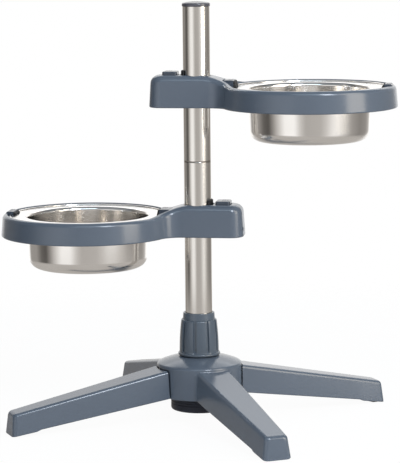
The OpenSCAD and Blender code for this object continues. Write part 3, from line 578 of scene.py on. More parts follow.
@dataclass(frozen=True)
class DrawnSteel(Finish):
    """Stainless tube polished along its length, with fine hairlines, a few marks and a dark seam."""

    colour: Colour
    dull: Colour
    rim: Colour
    roughness: float
    seam: Colour
    seam_z: float = SEAM_Z
    seam_half: float = 1.0

    def shade(self, graph: Graph) -> None:
        """Builds the material's nodes."""
        place = graph.place()
        hair = graph.noise(graph.stretched(place, (2600, 2600, 16)), 1, 2, 0.6)
        drift = graph.noise(graph.stretched(place, (40, 40, 7)), 1, 3)
        mark = graph.noise(place, 260, 4, 0.7).step(0.66, 0.78)
        ground = graph.mix(drift.step(0.3, 0.75) * 0.5 + hair * 0.3, self.colour, self.dull)
        above = graph.part(place, "Z") - self.seam_z * MM
        clear = above.larger(0 - above).step(self.seam_half * MM, 1.5 * self.seam_half * MM)
        graph.surface({
            "Base Color": graph.mix(clear, self.seam, graph.mix(mark * 0.25, ground, self.dull)),
            "Metallic": 1.0,
            "Specular Tint": self.rim,
            "Roughness": self.roughness + (hair - 0.5) * 0.1 + drift * 0.05 + mark * 0.08,
            "Normal": graph.bump(hair, 0.000012, 0.35),
        })


@dataclass(frozen=True)
class SpunSteel(Finish):
    """Stainless bowl with fine turning marks about its own axis."""

    colour: Colour
    dull: Colour
    roughness: float
    axis_x: float

    def shade(self, graph: Graph) -> None:
        """Builds the material's nodes."""
        place = graph.node("ShaderNodeVectorMath", {"operation": "SUBTRACT"},
                           {0: graph.place(), 1: (self.axis_x * MM, 0, 0)})
        flat = graph.stretched(place, (1, 1, 0))
        out, height = graph.length(flat), graph.part(place, "Z")
        turning = graph.node("ShaderNodeCombineXYZ", None, {"X": out * 1500, "Y": height * 1500})
        ring = graph.noise(turning, 1, 2, 0.6)
        drift = graph.noise(place, 17, 3)
        scuff = graph.noise(graph.stretched(place, (500, 500, 60)), 1, 3, 0.7).step(0.62, 0.8)
        under = graph.facing_down().step(0.12, 0.7)
        ground = graph.mix(drift.step(0.3, 0.75) * 0.5 + ring * 0.25, self.colour, self.dull)
        graph.surface({
            "Base Color": graph.mix(scuff * 0.2, ground, self.dull),
            "Metallic": 1.0,
            "Roughness": self.roughness + (ring - 0.5) * 0.08 + drift * 0.06 + scuff * 0.06 + under * 0.16,
            "Normal": graph.bump(ring * 0.6 + drift * 0.4, 0.00001, 0.2),
        })


@dataclass(frozen=True)
class SoftRubber(Finish):
    """Matt rubber with a dusty bloom and fine pores."""

    colour: Colour
    dust: Colour
    roughness: float = 0.72

    def shade(self, graph: Graph) -> None:
        """Builds the material's nodes."""
        place = graph.place()
        bloom = graph.noise(place, 70, 4, 0.65)
        pore = graph.noise(place, 2200, 2)
        rubbed = graph.edges(0.51, 0.58) * 0.35
        graph.surface({
            "Base Color": graph.mix((bloom.step(0.4, 0.8) * 0.35).larger(rubbed), self.colour, self.dust),
            "Roughness": self.roughness + (bloom - 0.5) * 0.2,
            "Normal": graph.bump(pore, 0.00006, 0.5),
        })


@dataclass(frozen=True)
class PlainMetal(Finish):
    """Small hardware: plated, blackened or brass, with a mottled skin and bright edges."""

    colour: Colour
    dull: Colour
    bright: Colour
    roughness: float = 0.32
    metallic: float = 1.0

    def shade(self, graph: Graph) -> None:
        """Builds the material's nodes."""
        place = graph.place()
        mottle = graph.noise(place, 420, 4, 0.6)
        lathe = graph.noise(graph.stretched(place, (160, 160, 3000)), 1, 2)
        edge = graph.edges(0.51, 0.58) * 0.6
        ground = graph.mix(mottle.step(0.35, 0.7), self.colour, self.dull)
        graph.surface({
            "Base Color": graph.mix(edge, ground, self.bright),
            "Metallic": self.metallic,
            "Roughness": self.roughness + (mottle - 0.5) * 0.2,
            "Normal": graph.bump(lathe, 0.00002, 0.4),
        })


SLATE = MouldedPlastic("slate_plastic", (0.084, 0.104, 0.134, 1), (0.088, 0.109, 0.140, 1),
                       (0.26, 0.30, 0.36, 1), 0.2)
# A darker copy of the slate plastic, in the same slot, that paints shade onto the collar
COLLAR_SLATE_PAINTED_SHADE = MouldedPlastic("slate_plastic", (0.069, 0.088, 0.112, 1), (0.073, 0.093, 0.118, 1),
                              (0.24, 0.28, 0.34, 1), 0.2)
# A much darker copy of the slate plastic, in the same slot, that paints shade onto the buttons and latches
DEEP_SLATE_PAINTED_SHADE = MouldedPlastic("slate_plastic", (0.040, 0.052, 0.072, 1), (0.044, 0.056, 0.077, 1),
                            (0.20, 0.23, 0.28, 1), 0.2)
DARK_SLATE = MouldedPlastic("dark_slate_plastic", (0.062, 0.061, 0.074, 1), (0.068, 0.067, 0.080, 1),
                            (0.16, 0.17, 0.20, 1), 0.22)
CHARCOAL = MouldedPlastic("charcoal_plastic", (0.024, 0.027, 0.040, 1), (0.027, 0.030, 0.044, 1),
                          (0.08, 0.08, 0.09, 1), 0.40, 0.2)
BLACK_RUBBER = SoftRubber("soft_black", (0.008, 0.008, 0.009, 1), (0.026, 0.026, 0.027, 1))
POLE_STEEL = DrawnSteel("pole_steel", (0.78, 0.765, 0.74, 1), (0.69, 0.67, 0.64, 1), (0.5, 0.47, 0.44, 1),
                        0.14, (0.35, 0.325, 0.30, 1))
ZINC = PlainMetal("bright_hardware", (0.72, 0.72, 0.73, 1), (0.58, 0.58, 0.60, 1), (0.85, 0.85, 0.85, 1))
BLACK_METAL = PlainMetal("black_hardware", (0.012, 0.012, 0.013, 1), (0.020, 0.020, 0.022, 1),
                         (0.09, 0.09, 0.09, 1), 0.38, 0.6)
BRASS = PlainMetal("insert_brass", (0.78, 0.56, 0.24, 1), (0.62, 0.43, 0.18, 1), (0.90, 0.70, 0.36, 1))


def bowl_steel(axis_x: float) -> SpunSteel:
    """The bowls' finish about one bowl's axis."""
    return SpunSteel("bowl_steel", (0.83, 0.815, 0.795, 1), (0.76, 0.74, 0.715, 1), 0.1, axis_x)


# Fasteners


@dataclass(frozen=True)
class PanScrew:
    """A pan-head screw along +Z from the seat of its head."""

    shank_r: float
    length: float
    head_r: float
    head_h: float

    def build(self, name: str, places: Sequence[Matrix]) -> Piece:
        """Makes the screws at their places as one piece.

        Args:
            name: Name of the piece.
            places: Where each screw's seat is, with +Z into the work.

        Returns:
            The piece.
        """
        crown = self.head_h * 0.55
        half = self.shank_r * 0.32
        deep = -self.head_h * 0.35
        profile = rounded([(0, -self.head_h, 0), (self.head_r, -self.head_h, crown), (self.head_r, 0, 0.15),
                           (self.shank_r, 0, 0), (self.shank_r, self.length, 0.3), (0, self.length, 0)])
        screws = Piece(name, *(Skin.spin(profile, 32).at(place) for place in places))
        slot_end = self.head_r * 0.62
        slot = Skin.box((-slot_end, -half, -2 * self.head_h), (slot_end, half, deep))
        for place in places:
            screws.cut(*(slot.at(place @ pointing("Z", turn)) for turn in (0, 90)))
        return screws


# Base


@dataclass
class Base:
    """The hub with its two moulded legs, the two plugged legs, the pads and the leg screws."""

    hub_r: float = 60.5
    foot_z: float = 36.0
    wall_h: float = 45.5
    rise: float = 12.6
    rim_r: float = 4.0
    wall: float = 3.0
    socket_r: float = 22.1
    neck_r: float = 25.1
    neck_top_z: float = 104.9
    floor_t: float = 6.0
    stud_r: float = 5.4
    turn: float = 29.5
    reach: float = 285.0
    root_z: float = 76.0
    tip_z: float = 31.8
    tip_gap: float = 0.8
    root_w: float = 49.0
    tip_w: float = 32.0
    draft: float = 2.6
    tip_draft: float = 4.2
    lean: float = 2.5
    edge_r: float = 5.2
    low_edge_r: float = 1.5
    root_r: float = 3.2
    corner_r: float = 6.0
    flare_r: float = 10.0
    flare_sink: float = 0.03
    root_in: float = 20.0
    root_step: float = 6.0
    cells: int = 4
    rib_t: float = 2.2
    toe: float = 38.0
    toe_drop: float = 1.6
    heel_l: float = 8.0
    plug_gap: float = 1.5
    seat_t: float = 2.4
    seat_gap: float = 0.9
    hub_rib_t: float = 2.5
    pocket_floor: float = 2.7
    tongue_w: float = 30.0
    tongue_h: float = 20.0
    tongue_z: float = 45.5
    tongue_in: float = 27.6
    tongue_play: float = 0.3
    window_out: float = 90.0
    rib_top: float = 120.0
    core_low: float = -50.0
    core_high: float = 150.0
    pad_l: float = 24.0
    pad_w: float = 20.0
    pad_h: float = 11.0
    pad_rise: float = 4.5
    pad_sole: float = 8.0
    pad_fit: float = 0.05
    pad_play: float = 0.3
    play: float = 0.4
    screw: PanScrew = PanScrew(2.0, 16.0, 4.0, 2.2)
    screw_z: float = 42.5
    screw_out: float = 51.5
    screw_pitch: float = 11.0

    def dome(self, wall: float, start_r: float) -> list[Point2]:
        """The hub's dome and rim.

        Args:
            wall: How far they are drawn in.
            start_r: The radius where they start, from which they run outward.

        Returns:
            The outline, as radius and height.
        """
        dome_r = (self.hub_r ** 2 + self.rise ** 2) / (2 * self.rise)
        centre_z = self.foot_z + self.wall_h + self.rise - dome_r
        rim_r = max(self.rim_r - wall, 0.5)
        rim_x = self.hub_r - wall - rim_r
        rim_z = centre_z + math.sqrt((dome_r - wall - rim_r) ** 2 - rim_x ** 2)
        seat = math.degrees(math.atan2(rim_z - centre_z, rim_x))
        start = math.degrees(math.acos(start_r / (dome_r - wall)))
        return (arc((0, centre_z), dome_r - wall, start, seat, 16)
                + arc((rim_x, rim_z), rim_r, seat, 0, 8)[1:])

    def hub_profile(self) -> list[Point2]:
        """Outline of the hub's shell, socket and neck, as radius and height."""
        top = self.foot_z + self.wall_h
        socket_z = self.foot_z + self.floor_t
        wall_in = self.hub_r - self.wall
        lip = rounded([(self.hub_r, top, 0), (self.hub_r, self.foot_z, 1.1), (wall_in, self.foot_z, 0.8),
                       (wall_in, top, 0)])[1:-1]
        mouth = rounded([(self.socket_r, socket_z, 0), (self.socket_r, self.neck_top_z, 0.6),
                         (self.neck_r, self.neck_top_z, 0.8), (self.neck_r, socket_z, 0)])[1:-1]
        return (self.dome(0, self.neck_r) + lip + list(reversed(self.dome(self.wall, self.neck_r)))
                + [(self.neck_r, self.foot_z), (self.stud_r, self.foot_z), (self.stud_r, socket_z),
                   (self.socket_r, socket_z)] + mouth)

    def _share(self, out: float) -> float:
        """How far along a leg a place lies, from 0 at the hub to 1 at the tip."""
        return (out - self.hub_r) / (self.reach - self.hub_r)

    def top_z(self, out: float) -> float:
        """Height of a leg's top."""
        return self.root_z + (self.tip_z - self.root_z) * self._share(out)

    def low_line(self, out: float) -> float:
        """Height of a leg's lower edge before its toe drops."""
        return self.foot_z + (self.tip_gap + self.toe_drop - self.foot_z) * self._share(out)

    def low_z(self, out: float) -> float:
        """Height of a leg's lower edge."""
        drop = smooth_step((out - self.reach + self.toe) / self.heel_l + 0.5)
        return self.low_line(out) - self.toe_drop * drop

    def half_w(self, out: float) -> float:
        """Half the width of a leg's top."""
        return (self.root_w + (self.tip_w - self.root_w) * self._share(out)) / 2

    def low_half_w(self, out: float) -> float:
        """Half the width of a leg's lower edge."""
        return self.half_w(out) + self.draft + (self.tip_draft - self.draft) * self._share(out)

    def section(self, out: float, extra: float = 0, sink: float = 0, slant: float = 0) -> list[Point3]:
        """One cross-section of a leg.

        Args:
            out: Distance from the pole's axis.
            extra: Extra half width.
            sink: How far the top lies below the leg's line.
            slant: How far the top leans out, besides the leg's own lean inward.

        Returns:
            The ring of points.
        """
        top, low = self.top_z(out) - sink, self.low_z(out)
        half = self.half_w(out) + extra
        deep = (self.top_z(out) - low) / (self.top_z(out) - self.low_line(out))
        foot = half + (self.low_half_w(out) - self.half_w(out)) * deep
        outline = rounded([(-foot, low, self.low_edge_r), (foot, low, self.low_edge_r),
                           (half, top, self.edge_r), (-half, top, self.edge_r)], 7)
        shift = (self.lean * out / self.reach - slant) / (top - low)
        return [(out - shift * (z - low), y, z) for y, z in outline]

    def leg_skin(self, flared: bool) -> Skin:
        """The outside of a leg along +X, with or without the flare where it meets the hub."""
        rings = []
        if flared:
            far = self.hub_r - self.flare_sink + self.flare_r
            sides = [half + self.flare_r for half in (self.low_half_w(self.hub_r), self.half_w(self.hub_r))]
            ends = [math.sqrt(far ** 2 - side ** 2) for side in sides]
            slant = ends[1] - ends[0] + self.lean * self.hub_r / self.reach
            for i in range(17):
                a = math.atan2(ends[0], sides[0]) * (1 - i / 16)
                out = ends[0] - self.flare_r * math.sin(a)
                extra = self.flare_r * (1 - math.cos(a)) + self.half_w(self.hub_r) - self.half_w(out)
                if not rings:
                    rings.append(self.section(self.hub_r - self.root_in, extra))
                rings.append(self.section(out, extra, slant=slant))
        else:
            rings.append(self.section(self.hub_r - self.root_in))
        start, heel = self.hub_r + self.root_step, self.reach - self.toe
        rings += [self.section(start + (heel - self.root_step - start) * i / 12) for i in range(13)]
        rings += [self.section(heel + self.heel_l * (i / 6 - 0.5)) for i in range(7)]
        for i in range(9):
            a = math.radians(90 * i / 8)
            inset = self.corner_r * (1 - math.cos(a))
            rings.append(self.section(self.reach - self.corner_r * (1 - math.sin(a)), -inset, inset / 2))
        return Skin.loft(rings)

    def hollows(self, start: float) -> list[Skin]:
        """The cells under a leg, from a distance outward."""
        end = self.reach - self.toe
        cell = (end - start + self.rib_t) / self.cells
        cells = []
        for i in range(self.cells):
            rings = []
            for out in (start + i * cell, start + (i + 1) * cell - self.rib_t):
                half, foot = self.half_w(out) - self.wall, self.low_half_w(out) - self.wall
                top, low = self.top_z(out) - self.wall, self.low_z(out) - OVER
                rings.append([(out, foot, low), (out, half, top), (out, -half, top), (out, -foot, low)])
            cells.append(Skin.loft(rings))
        return cells

    def pad_x(self) -> float:
        """Distance of a pad's middle from the pole's axis."""
        return self.reach - self.corner_r - self.pad_l / 2

    def pad_recess(self) -> Skin:
        """The cut that takes a pad."""
        x, half_l, half_w = self.pad_x(), self.pad_l / 2 + self.pad_fit, self.pad_w / 2 + self.pad_fit
        return Skin.box((x - half_l, -half_w, -OVER), (x + half_l, half_w, self.pad_h))

    def core(self, radius: float) -> Skin:
        """A round cutter about the pole's axis, taller than the base."""
        return Skin.drum(radius, self.core_low, self.core_high, 192)

    def build_hub(self) -> None:
        """Makes the hub and its moulded legs as one piece."""
        hub = Piece("hub_with_legs", Skin.spin(self.hub_profile(), 192))
        for angle in (self.turn - 90, self.turn + 90):
            place = moved(turn=angle)
            leg = Piece("leg", self.leg_skin(True).at(place)).cut(self.core(self.hub_r - self.wall / 2))
            leg.cut(*(cell.at(place) for cell in self.hollows(self.hub_r + self.flare_r)))
            leg.cut(self.pad_recess().at(place))
            hub.join(leg, self.root_fillet().at(place))
        hub.join(*self.hub_ribs())
        half, low = self.tongue_w / 2 + self.play, self.tongue_z - self.tongue_play
        high = low + self.tongue_h + 2 * self.tongue_play
        window = Skin.box((self.tongue_in, -half, low), (self.window_out, half, high))
        hole = Skin.rod(self.screw.shank_r + self.play, self.foot_z, self.tongue_z, 24)
        for angle in (self.turn, self.turn + 180):
            hub.cut(self.root_seat(angle), window.at(moved(turn=angle)))
            hub.cut(*(hole.at(place) for place in self.screw_places(angle)))
        hub.hand_over(SLATE, "base", "base_hub")

    def root_seat(self, angle: float) -> Piece:
        """The shallow seat in the hub's wall round the root of a plugged leg that points along an angle."""
        rings = []
        for out in (self.hub_r - self.root_in, self.hub_r + self.root_in):
            half, foot = self.half_w(out) + self.seat_gap, self.low_half_w(out) + self.seat_gap
            low, top = self.low_z(out) - 2 * OVER, self.top_z(out) + self.seat_gap
            outline = rounded([(-foot, low, 0), (foot, low, 0),
                               (half, top, self.edge_r), (-half, top, self.edge_r)], 7)
            rings.append([(out, y, z) for y, z in outline])
        seat = Piece("seat", Skin.loft(rings).at(moved(turn=angle)))
        return seat.cut(self.core(self.hub_r - self.seat_t))

    def root_fillet(self) -> Skin:
        """The fillet over the top of a moulded leg along +X, where it meets the hub's wall."""
        slope = math.degrees(math.atan2(self.root_z - self.tip_z, self.reach - self.hub_r))
        half = self.half_w(self.hub_r) - self.edge_r * 0.6
        rings = []
        for i in range(17):
            y = half * (i / 8 - 1)
            wall = math.sqrt(self.hub_r ** 2 - y ** 2)
            out = wall + self.root_r
            high = self.top_z(out) + self.root_r / math.cos(math.radians(slope))
            low, inside = self.top_z(out) - self.wall, wall - self.wall / 2
            bend = arc((out, high), self.root_r, 180, 270 - slope, 8)
            outline = [(inside, low), (inside, high), *bend, (bend[-1][0], low)]
            rings.append([(x, y, z) for x, z in outline])
        return Skin.loft(rings)

    def hub_ribs(self) -> list[Piece]:
        """The four ribs under the dome and the two pockets for the plugged legs."""
        start, shell = self.neck_r - 1, self.dome(self.wall / 2, 0.5)
        inside = Skin.spin([(0.5, self.foot_z), *shell, (shell[-1][0], self.foot_z)], 192)
        thin, half = self.hub_rib_t / 2, self.tongue_w / 2 + self.play
        wide, floor = half + self.hub_rib_t, self.tongue_z - self.tongue_play - self.pocket_floor
        rib = Skin.box((start, -thin, self.tongue_z), (self.hub_r, thin, self.rib_top))
        block = Skin.box((start, -wide, floor), (self.hub_r, wide, self.rib_top))
        room = Skin.box((start - OVER, -half, floor + self.pocket_floor),
                        (self.hub_r + OVER, half, self.rib_top + OVER))
        ribs = [Piece("rib", rib.at(moved(turn=self.turn + 45 + 90 * i))) for i in range(4)]
        for place in (moved(turn=self.turn), moved(turn=self.turn + 180)):
            ribs.append(Piece("pocket", block.at(place)).cut(room.at(place)))
        return [rib.combine(Combine.MEET, inside) for rib in ribs]

    def build_side_leg(self, name: str, angle: float) -> None:
        """Makes a plugged leg.

        Args:
            name: Name of its node.
            angle: Its direction from +X, in degrees.
        """
        place = moved(turn=angle)
        start = self.hub_r + self.plug_gap
        leg = Piece(f"{name}_shell", self.leg_skin(False).at(place))
        leg.cut(self.core(start), *(cell.at(place) for cell in self.hollows(start + 3 * self.wall)))
        tongue = Skin.box((self.tongue_in + self.tongue_play, -self.tongue_w / 2, self.tongue_z),
                          (start + self.wall, self.tongue_w / 2, self.tongue_z + self.tongue_h))
        leg.join(tongue.at(place))
        leg.cut(self.pad_recess().at(place))
        leg.hand_over(SLATE, "base", name)

    def build_pads(self) -> None:
        """Makes the four foot pads as one piece."""
        back, front, top = -self.pad_l / 2, self.pad_l / 2, self.pad_h - self.pad_play
        outline = rounded([(front, 0, 1.2), (front, top, 0), (back, top, 0), (back, self.pad_rise, 0.8),
                           (front - self.pad_sole, 0, 6)], 4)
        upright = pointing("X", 90)
        pad = Skin.prism(outline, -self.pad_w / 2, self.pad_w / 2).at(upright)
        pads = [pad.at(moved(turn=self.turn + 90 * i) @ moved(x=self.pad_x())) for i in range(4)]
        Piece("pads", *pads).soften(0.7, 2, 50).hand_over(BLACK_RUBBER, "base", "foot_pads")

    def screw_places(self, angle: float) -> list[Matrix]:
        """Places in plan of the two screws of a plugged leg."""
        return [moved(turn=angle) @ moved(x=self.screw_out - self.screw_pitch * i) for i in range(2)]

    def build_screws(self) -> None:
        """Makes the four screws that hold the plugged legs."""
        places = [moved(z=self.screw_z) @ place for angle in (self.turn, self.turn + 180)
                  for place in self.screw_places(angle)]
        self.screw.build("leg_pan_screws", places).hand_over(ZINC, "base", "leg_screws")

    def build(self) -> None:
        """Makes every piece of the base."""
        self.build_hub()
        self.build_side_leg("side_leg_right", self.turn)
        self.build_side_leg("side_leg_left", self.turn + 180)
        self.build_pads()
        self.build_screws()


# Pole


@dataclass
class Pole:
    """The two steel tubes and the cap."""

    radius: float = 19.0
    wall: float = 1.5
    foot_z: float = 42.0
    seam_z: float = SEAM_Z
    top_z: float = 588.5
    roll: float = 1.0
    edge: float = 1.2
    chamfer: float = 0.3
    fit: float = 0.05
    cap_over: float = 0.9
    cap_rim: float = 2.7
    cap_edge: float = 2.2
    cap_rise: float = 2.0
    cap_plug: float = 15.0
    cap_wall: float = 2.4

    def tube(self, plain_z: float) -> list[Point2]:
        """Outline of a tube from its plain end to its rolled end at the seam."""
        way = 1 if self.seam_z > plain_z else -1
        inset = self.wall - self.edge
        bend = (self.roll ** 2 + inset ** 2) / (2 * inset)
        heights = [(self.roll - self.fit) * i / 8 for i in range(9)]
        rolled = [(self.radius - bend + math.sqrt(bend ** 2 - h ** 2), self.seam_z - way * (self.roll - h))
                  for h in heights]
        inner = self.radius - self.wall
        return [(inner, plain_z), (self.radius - self.chamfer, plain_z),
                (self.radius, plain_z + way * self.chamfer), *rolled, (inner, rolled[-1][1])]

    def build_cap(self) -> None:
        """Makes the domed cap with its plug."""
        rim = self.radius + self.cap_over
        edge = (rim - self.cap_edge, self.top_z + self.cap_rim)
        drop = self.cap_rise + self.cap_edge
        dome_r = (edge[0] ** 2 + drop ** 2 - self.cap_edge ** 2) / (2 * self.cap_rise)
        blend = math.degrees(math.acos(edge[0] / (dome_r - self.cap_edge)))
        plug = self.radius - self.wall - self.fit
        under = self.top_z - self.cap_plug
        outline = (arc((0, edge[1] + drop - dome_r), dome_r, 90, blend, 14)
                   + arc(edge, self.cap_edge, blend, 0, 10)[1:]
                   + rounded([(rim, edge[1], 0), (rim, self.top_z, 0.5), (plug, self.top_z, 0)])[1:]
                   + [(plug, under), (plug - self.cap_wall, under), (plug - self.cap_wall, self.top_z),
                      (0, self.top_z)])
        Piece("pole_cap", Skin.spin(outline, 128)).hand_over(DARK_SLATE, "base", "top_cap")

    def build(self) -> None:
        """Makes the tubes and the cap."""
        for node, plain_z in (("lower_tube", self.foot_z), ("upper_tube", self.top_z)):
            Piece(f"{node}_steel", Skin.spin(self.tube(plain_z), 160)).hand_over(POLE_STEEL, "base", node)
        self.build_cap()


# Collar and knob


@dataclass
class Collar:
    """The fluted collar that draws the collet shut."""

    foot_z: float = 92.9
    height: float = 61.0
    foot_r: float = 30.0
    foot_h: float = 4.0
    foot_blend: float = 0.4
    barrel_r: float = 28.0
    top_r: float = 25.2
    band_h: float = 9.5
    mouth_r: float = 22.25
    flutes: int = 9
    flute_w: float = 4.4
    flute_t: float = 2.3
    flute_turn: float = -95.0
    flute_blend: float = 0.7
    fade_start: float = 0.8
    fade_h: float = 1.8
    neck_room: float = 25.5
    neck_h: float = 12.4
    nose_room: float = 22.45
    nose_z: float = 128.9
    tip_room: float = 21.25
    lip_z: float = 149.3
    hole_r: float = 19.4
    columns: int = 360

    def rows(self) -> list[tuple[float, float, float]]:
        """Rows of the outside from the foot up, each as land radius, flute radius and height."""
        foot = rounded([(self.neck_room, self.foot_z, 0), (self.foot_r, self.foot_z, 1.6),
                        (self.foot_r, self.foot_z + self.foot_h, 1.9),
                        (self.barrel_r + self.foot_blend, self.foot_z + self.foot_h, 0)])
        rows = [(r, r, z) for r, z in foot]
        low = self.foot_z + self.foot_h
        high = self.foot_z + self.height - self.band_h
        tall = high - low
        drop = self.barrel_r - self.top_r
        bow = (tall ** 2 + drop ** 2) / (2 * drop)
        floor_top = self.top_r - self.flute_t
        steps = 30
        for i in range(1, steps + 1):
            up = (tall - self.flute_t) * i / steps
            land = self.barrel_r - bow + math.sqrt(bow ** 2 - up ** 2)
            floor = self.barrel_r - self.flute_t - (self.barrel_r - self.flute_t - floor_top) * up / tall
            open_share = smooth_step((up - self.fade_start) / self.fade_h)
            rows.append((land, land + (floor - land) * open_share, low + up))
        land = rows[-1][0]
        for i in range(1, 7):
            a = math.pi / 2 * i / 6
            rows.append((floor_top + (land - floor_top) * math.cos(a), floor_top,
                         high - self.flute_t * (1 - math.sin(a))))
        band = rounded([(floor_top, high, 0), (self.mouth_r, self.foot_z + self.height, 0.9),
                        (self.hole_r, self.foot_z + self.height, 0.6), (self.hole_r, self.lip_z, 0)])[1:]
        inside = [(self.tip_room, self.lip_z), (self.nose_room, self.nose_z),
                  (self.nose_room, self.foot_z + self.neck_h), (self.neck_room, self.foot_z + self.neck_h)]
        return rows + [(r, r, z) for r, z in band + inside]

    def flute(self, column: int) -> float:
        """How far a column lies in a flute, from 0 on a land to 1 on a flute's floor."""
        pitch = 360 / self.flutes
        angle = (360 * column / self.columns - self.flute_turn + pitch / 2) % pitch - pitch / 2
        along = abs(math.radians(angle)) * self.barrel_r
        return smooth_step((self.flute_w / 2 + self.flute_blend / 2 - along) / self.flute_blend)

    def build(self) -> None:
        """Makes the collar."""
        shares = [self.flute(k) for k in range(self.columns)]
        rows = [[(land + (floor - land) * share, z) for share in shares] for land, floor, z in self.rows()]
        # The collar wears the darker copy of the slate plastic, which is painted shade
        Piece("collar_barrel", Skin.spin_by(rows)).hand_over(COLLAR_SLATE_PAINTED_SHADE, "collar", "clamp_collar")


@dataclass
class Knob:
    """The grooved cup knob under the hub."""

    low_z: float = 14.2
    height: float = 20.0
    radius: float = 41.0
    edge_r: float = 6.0
    corner_r: float = 3.0
    wall: float = 4.0
    stud_r: float = 5.05
    boss_r: float = 14.0
    grooves: int = 3
    groove_t: float = 0.6

    def build(self) -> None:
        """Makes the knob."""
        top = self.low_z + self.height
        side = []
        start = self.low_z + self.edge_r
        inner = self.radius - self.groove_t
        for i in range(1, self.grooves + 1):
            z = start + (self.height - self.edge_r) * i / (self.grooves + 1)
            side += [(self.radius, z, 0.25), (inner, z, 0.25), (inner, z + 2 * self.groove_t, 0.25),
                     (self.radius, z + 2 * self.groove_t, 0.25)]
        cup = self.radius - self.edge_r
        corners = [(self.stud_r, top, 0), (self.stud_r, self.low_z, 0.4), (self.boss_r, self.low_z, 0.8),
                   (self.boss_r, top - self.wall, 1.5), (cup, top - self.wall, 1.5), (cup, self.low_z, 0.8),
                   (self.radius, self.low_z, self.corner_r), *side, (self.radius, top, 1.0)]
        Piece("grooved_knob", Skin.spin(rounded(corners), 160)).hand_over(CHARCOAL, "knob", "lock_knob")


# Arms


@dataclass
class Arm:
    """One swinging arm: its moulding, button, brake shoe, latches, screws and bowl.

    Heights are over the arm's underside, and the ring lies towards +X before the arm is placed.
    """

    side: Side
    block_h: float = 45.4
    block_w: float = 54.0
    block_end: float = 66.5
    corner_r: float = 19.0
    ring_off: float = 159.2
    ring_r: float = 123.5
    ring_h: float = 31.0
    neck_r: float = 27.5
    fall_start: float = 10.0
    fall_end: float = 56.0
    draft: float = 2.0
    edge_r: float = 6.5
    side_r: float = 10.0
    end_r: float = 12.0
    low_edge_r: float = 2.0
    wall: float = 2.6
    top_t: float = 4.0
    seat_z: float = 27.0
    recess_r: float = 114.0
    opening_r: float = 90.0
    bore_r: float = 22.06
    mouth_r: float = 19.8
    boss_r: float = 24.66
    shoulder_z: float = 33.4
    cover_t: float = 2.8
    cover_front: float = 26.66
    lip: float = 0.8
    play: float = 0.4
    seat_gap: float = 0.3
    cut_top: float = 60.0
    button_off: float = 37.0
    button_l: float = 21.0
    button_w: float = 26.0
    button_r: float = 4.0
    button_proud: float = 5.0
    button_edge: float = 1.6
    button_travel: float = 4.0
    flange_t: float = 2.2
    finger_l: float = 4.0
    finger_t: float = 3.0
    finger_off: float = 9.5
    bite: float = 0.5
    grip_xs: tuple[float, ...] = (-5.4, -2.2, 1.0)
    grip_r: float = 0.7
    grip_end: float = 4.0
    grip_lift: float = 0.1
    shoe_in: float = 19.3
    shoe_out: float = 21.9
    shoe_half: float = 37.0
    shoe_proud: float = 6.3
    shoe_travel: float = 1.2
    slot_play: float = 3.0
    slot_front: float = 8.0
    riser_t: float = 2.4
    riser_fit: float = 0.06
    tail_z: float = 29.4
    tail_t: float = 5.0
    tail_end: float = 3.0
    spring_r: float = 5.0
    spring_wire: float = 1.1
    spring_turns: int = 6
    spring_z: float = 12.1
    latch_w: float = 28.0
    latch_tip: float = 102.0
    latch_travel: float = 6.0
    tip_l: float = 3.6
    nose_step: float = 1.0
    foot_l: float = 5.0
    foot_half: float = 3.0
    toe_half: float = 6.0
    line_start: float = 3.5
    line_pitch: float = 2.4
    line_r: float = 0.6
    near_back: float = 121.0
    near_top: float = 38.4
    far_back: float = 116.0
    far_top: float = 33.4
    screw: PanScrew = PanScrew(1.5, 8.0, 2.8, 1.5)
    screw_z: float = 11.5
    screw_pitch: float = 19.0
    screw_seat: float = 4.0
    screw_hole: float = 9.0
    bowl_r: float = 87.0
    bowl_depth: float = 74.0
    bowl_taper: float = 2.6
    bowl_foot_r: float = 16.5
    bowl_t: float = 1.2
    bend_r: float = 4.0
    roll_r: float = 1.3
    flange_r: float = 112.0
    notch_r: float = 101.2
    notch_corner: float = 2.5
    notch_out: float = 40.0
    notch_drop: float = 3.0
    notch_lift: float = 9.0

    def __post_init__(self) -> None:
        """Works out the arm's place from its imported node."""
        self.name = self.side.value
        low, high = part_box(f"{self.name}_arm")
        turn = 0 if high.x > -low.x else 180
        self.place = moved(z=low.z / MM, turn=turn)
        self.half = self.block_w / 2
        self.roof_z = self.block_h - self.top_t
        self.deck_z = self.seat_z - self.wall
        self.pocket_half = self.half - self.draft - self.wall
        self.pocket_end = self.block_end - self.draft - self.wall

    def half_plan(self, inset: float) -> list[Point2]:
        """Half of the moulding's plan from the ring's far point to the middle of the block's end."""
        mid_y = self.half + self.neck_r
        neck_x = self.ring_off - math.sqrt((self.ring_r + self.neck_r) ** 2 - mid_y ** 2)
        neck_a = math.degrees(math.atan2(mid_y, neck_x - self.ring_off))
        ring = arc((self.ring_off, 0), self.ring_r - inset, 0, neck_a, 96)
        neck = arc((neck_x, mid_y), self.neck_r + inset, neck_a - 180, -90, 24)[1:]
        straight = [(self.fall_start - 15 * i, self.half - inset) for i in range(5)]
        middle = (self.corner_r - self.block_end, self.half - self.corner_r)
        corner = arc(middle, self.corner_r - inset, 90, 180, 14)
        return ring + neck + straight[:-1] + corner

    def plan(self, inset: float) -> list[Point2]:
        """The moulding's whole plan, drawn in by a distance."""
        half = self.half_plan(inset)
        return half + [(x, -y) for x, y in reversed(half[1:])]

    def top(self, x: float) -> float:
        """Height of the moulding's top along its length."""
        share = smooth_step((x - self.fall_start) / (self.fall_end - self.fall_start))
        return self.block_h + (self.ring_h - self.block_h) * share

    def top_edge(self, x: float) -> float:
        """Radius of the moulding's top edge along its length."""
        side = smooth_step((x + self.block_end) / (self.block_end - self.button_off))
        ring = smooth_step(x / self.fall_end)
        block = self.end_r + (self.side_r - self.end_r) * side
        return block + (self.edge_r - block) * ring

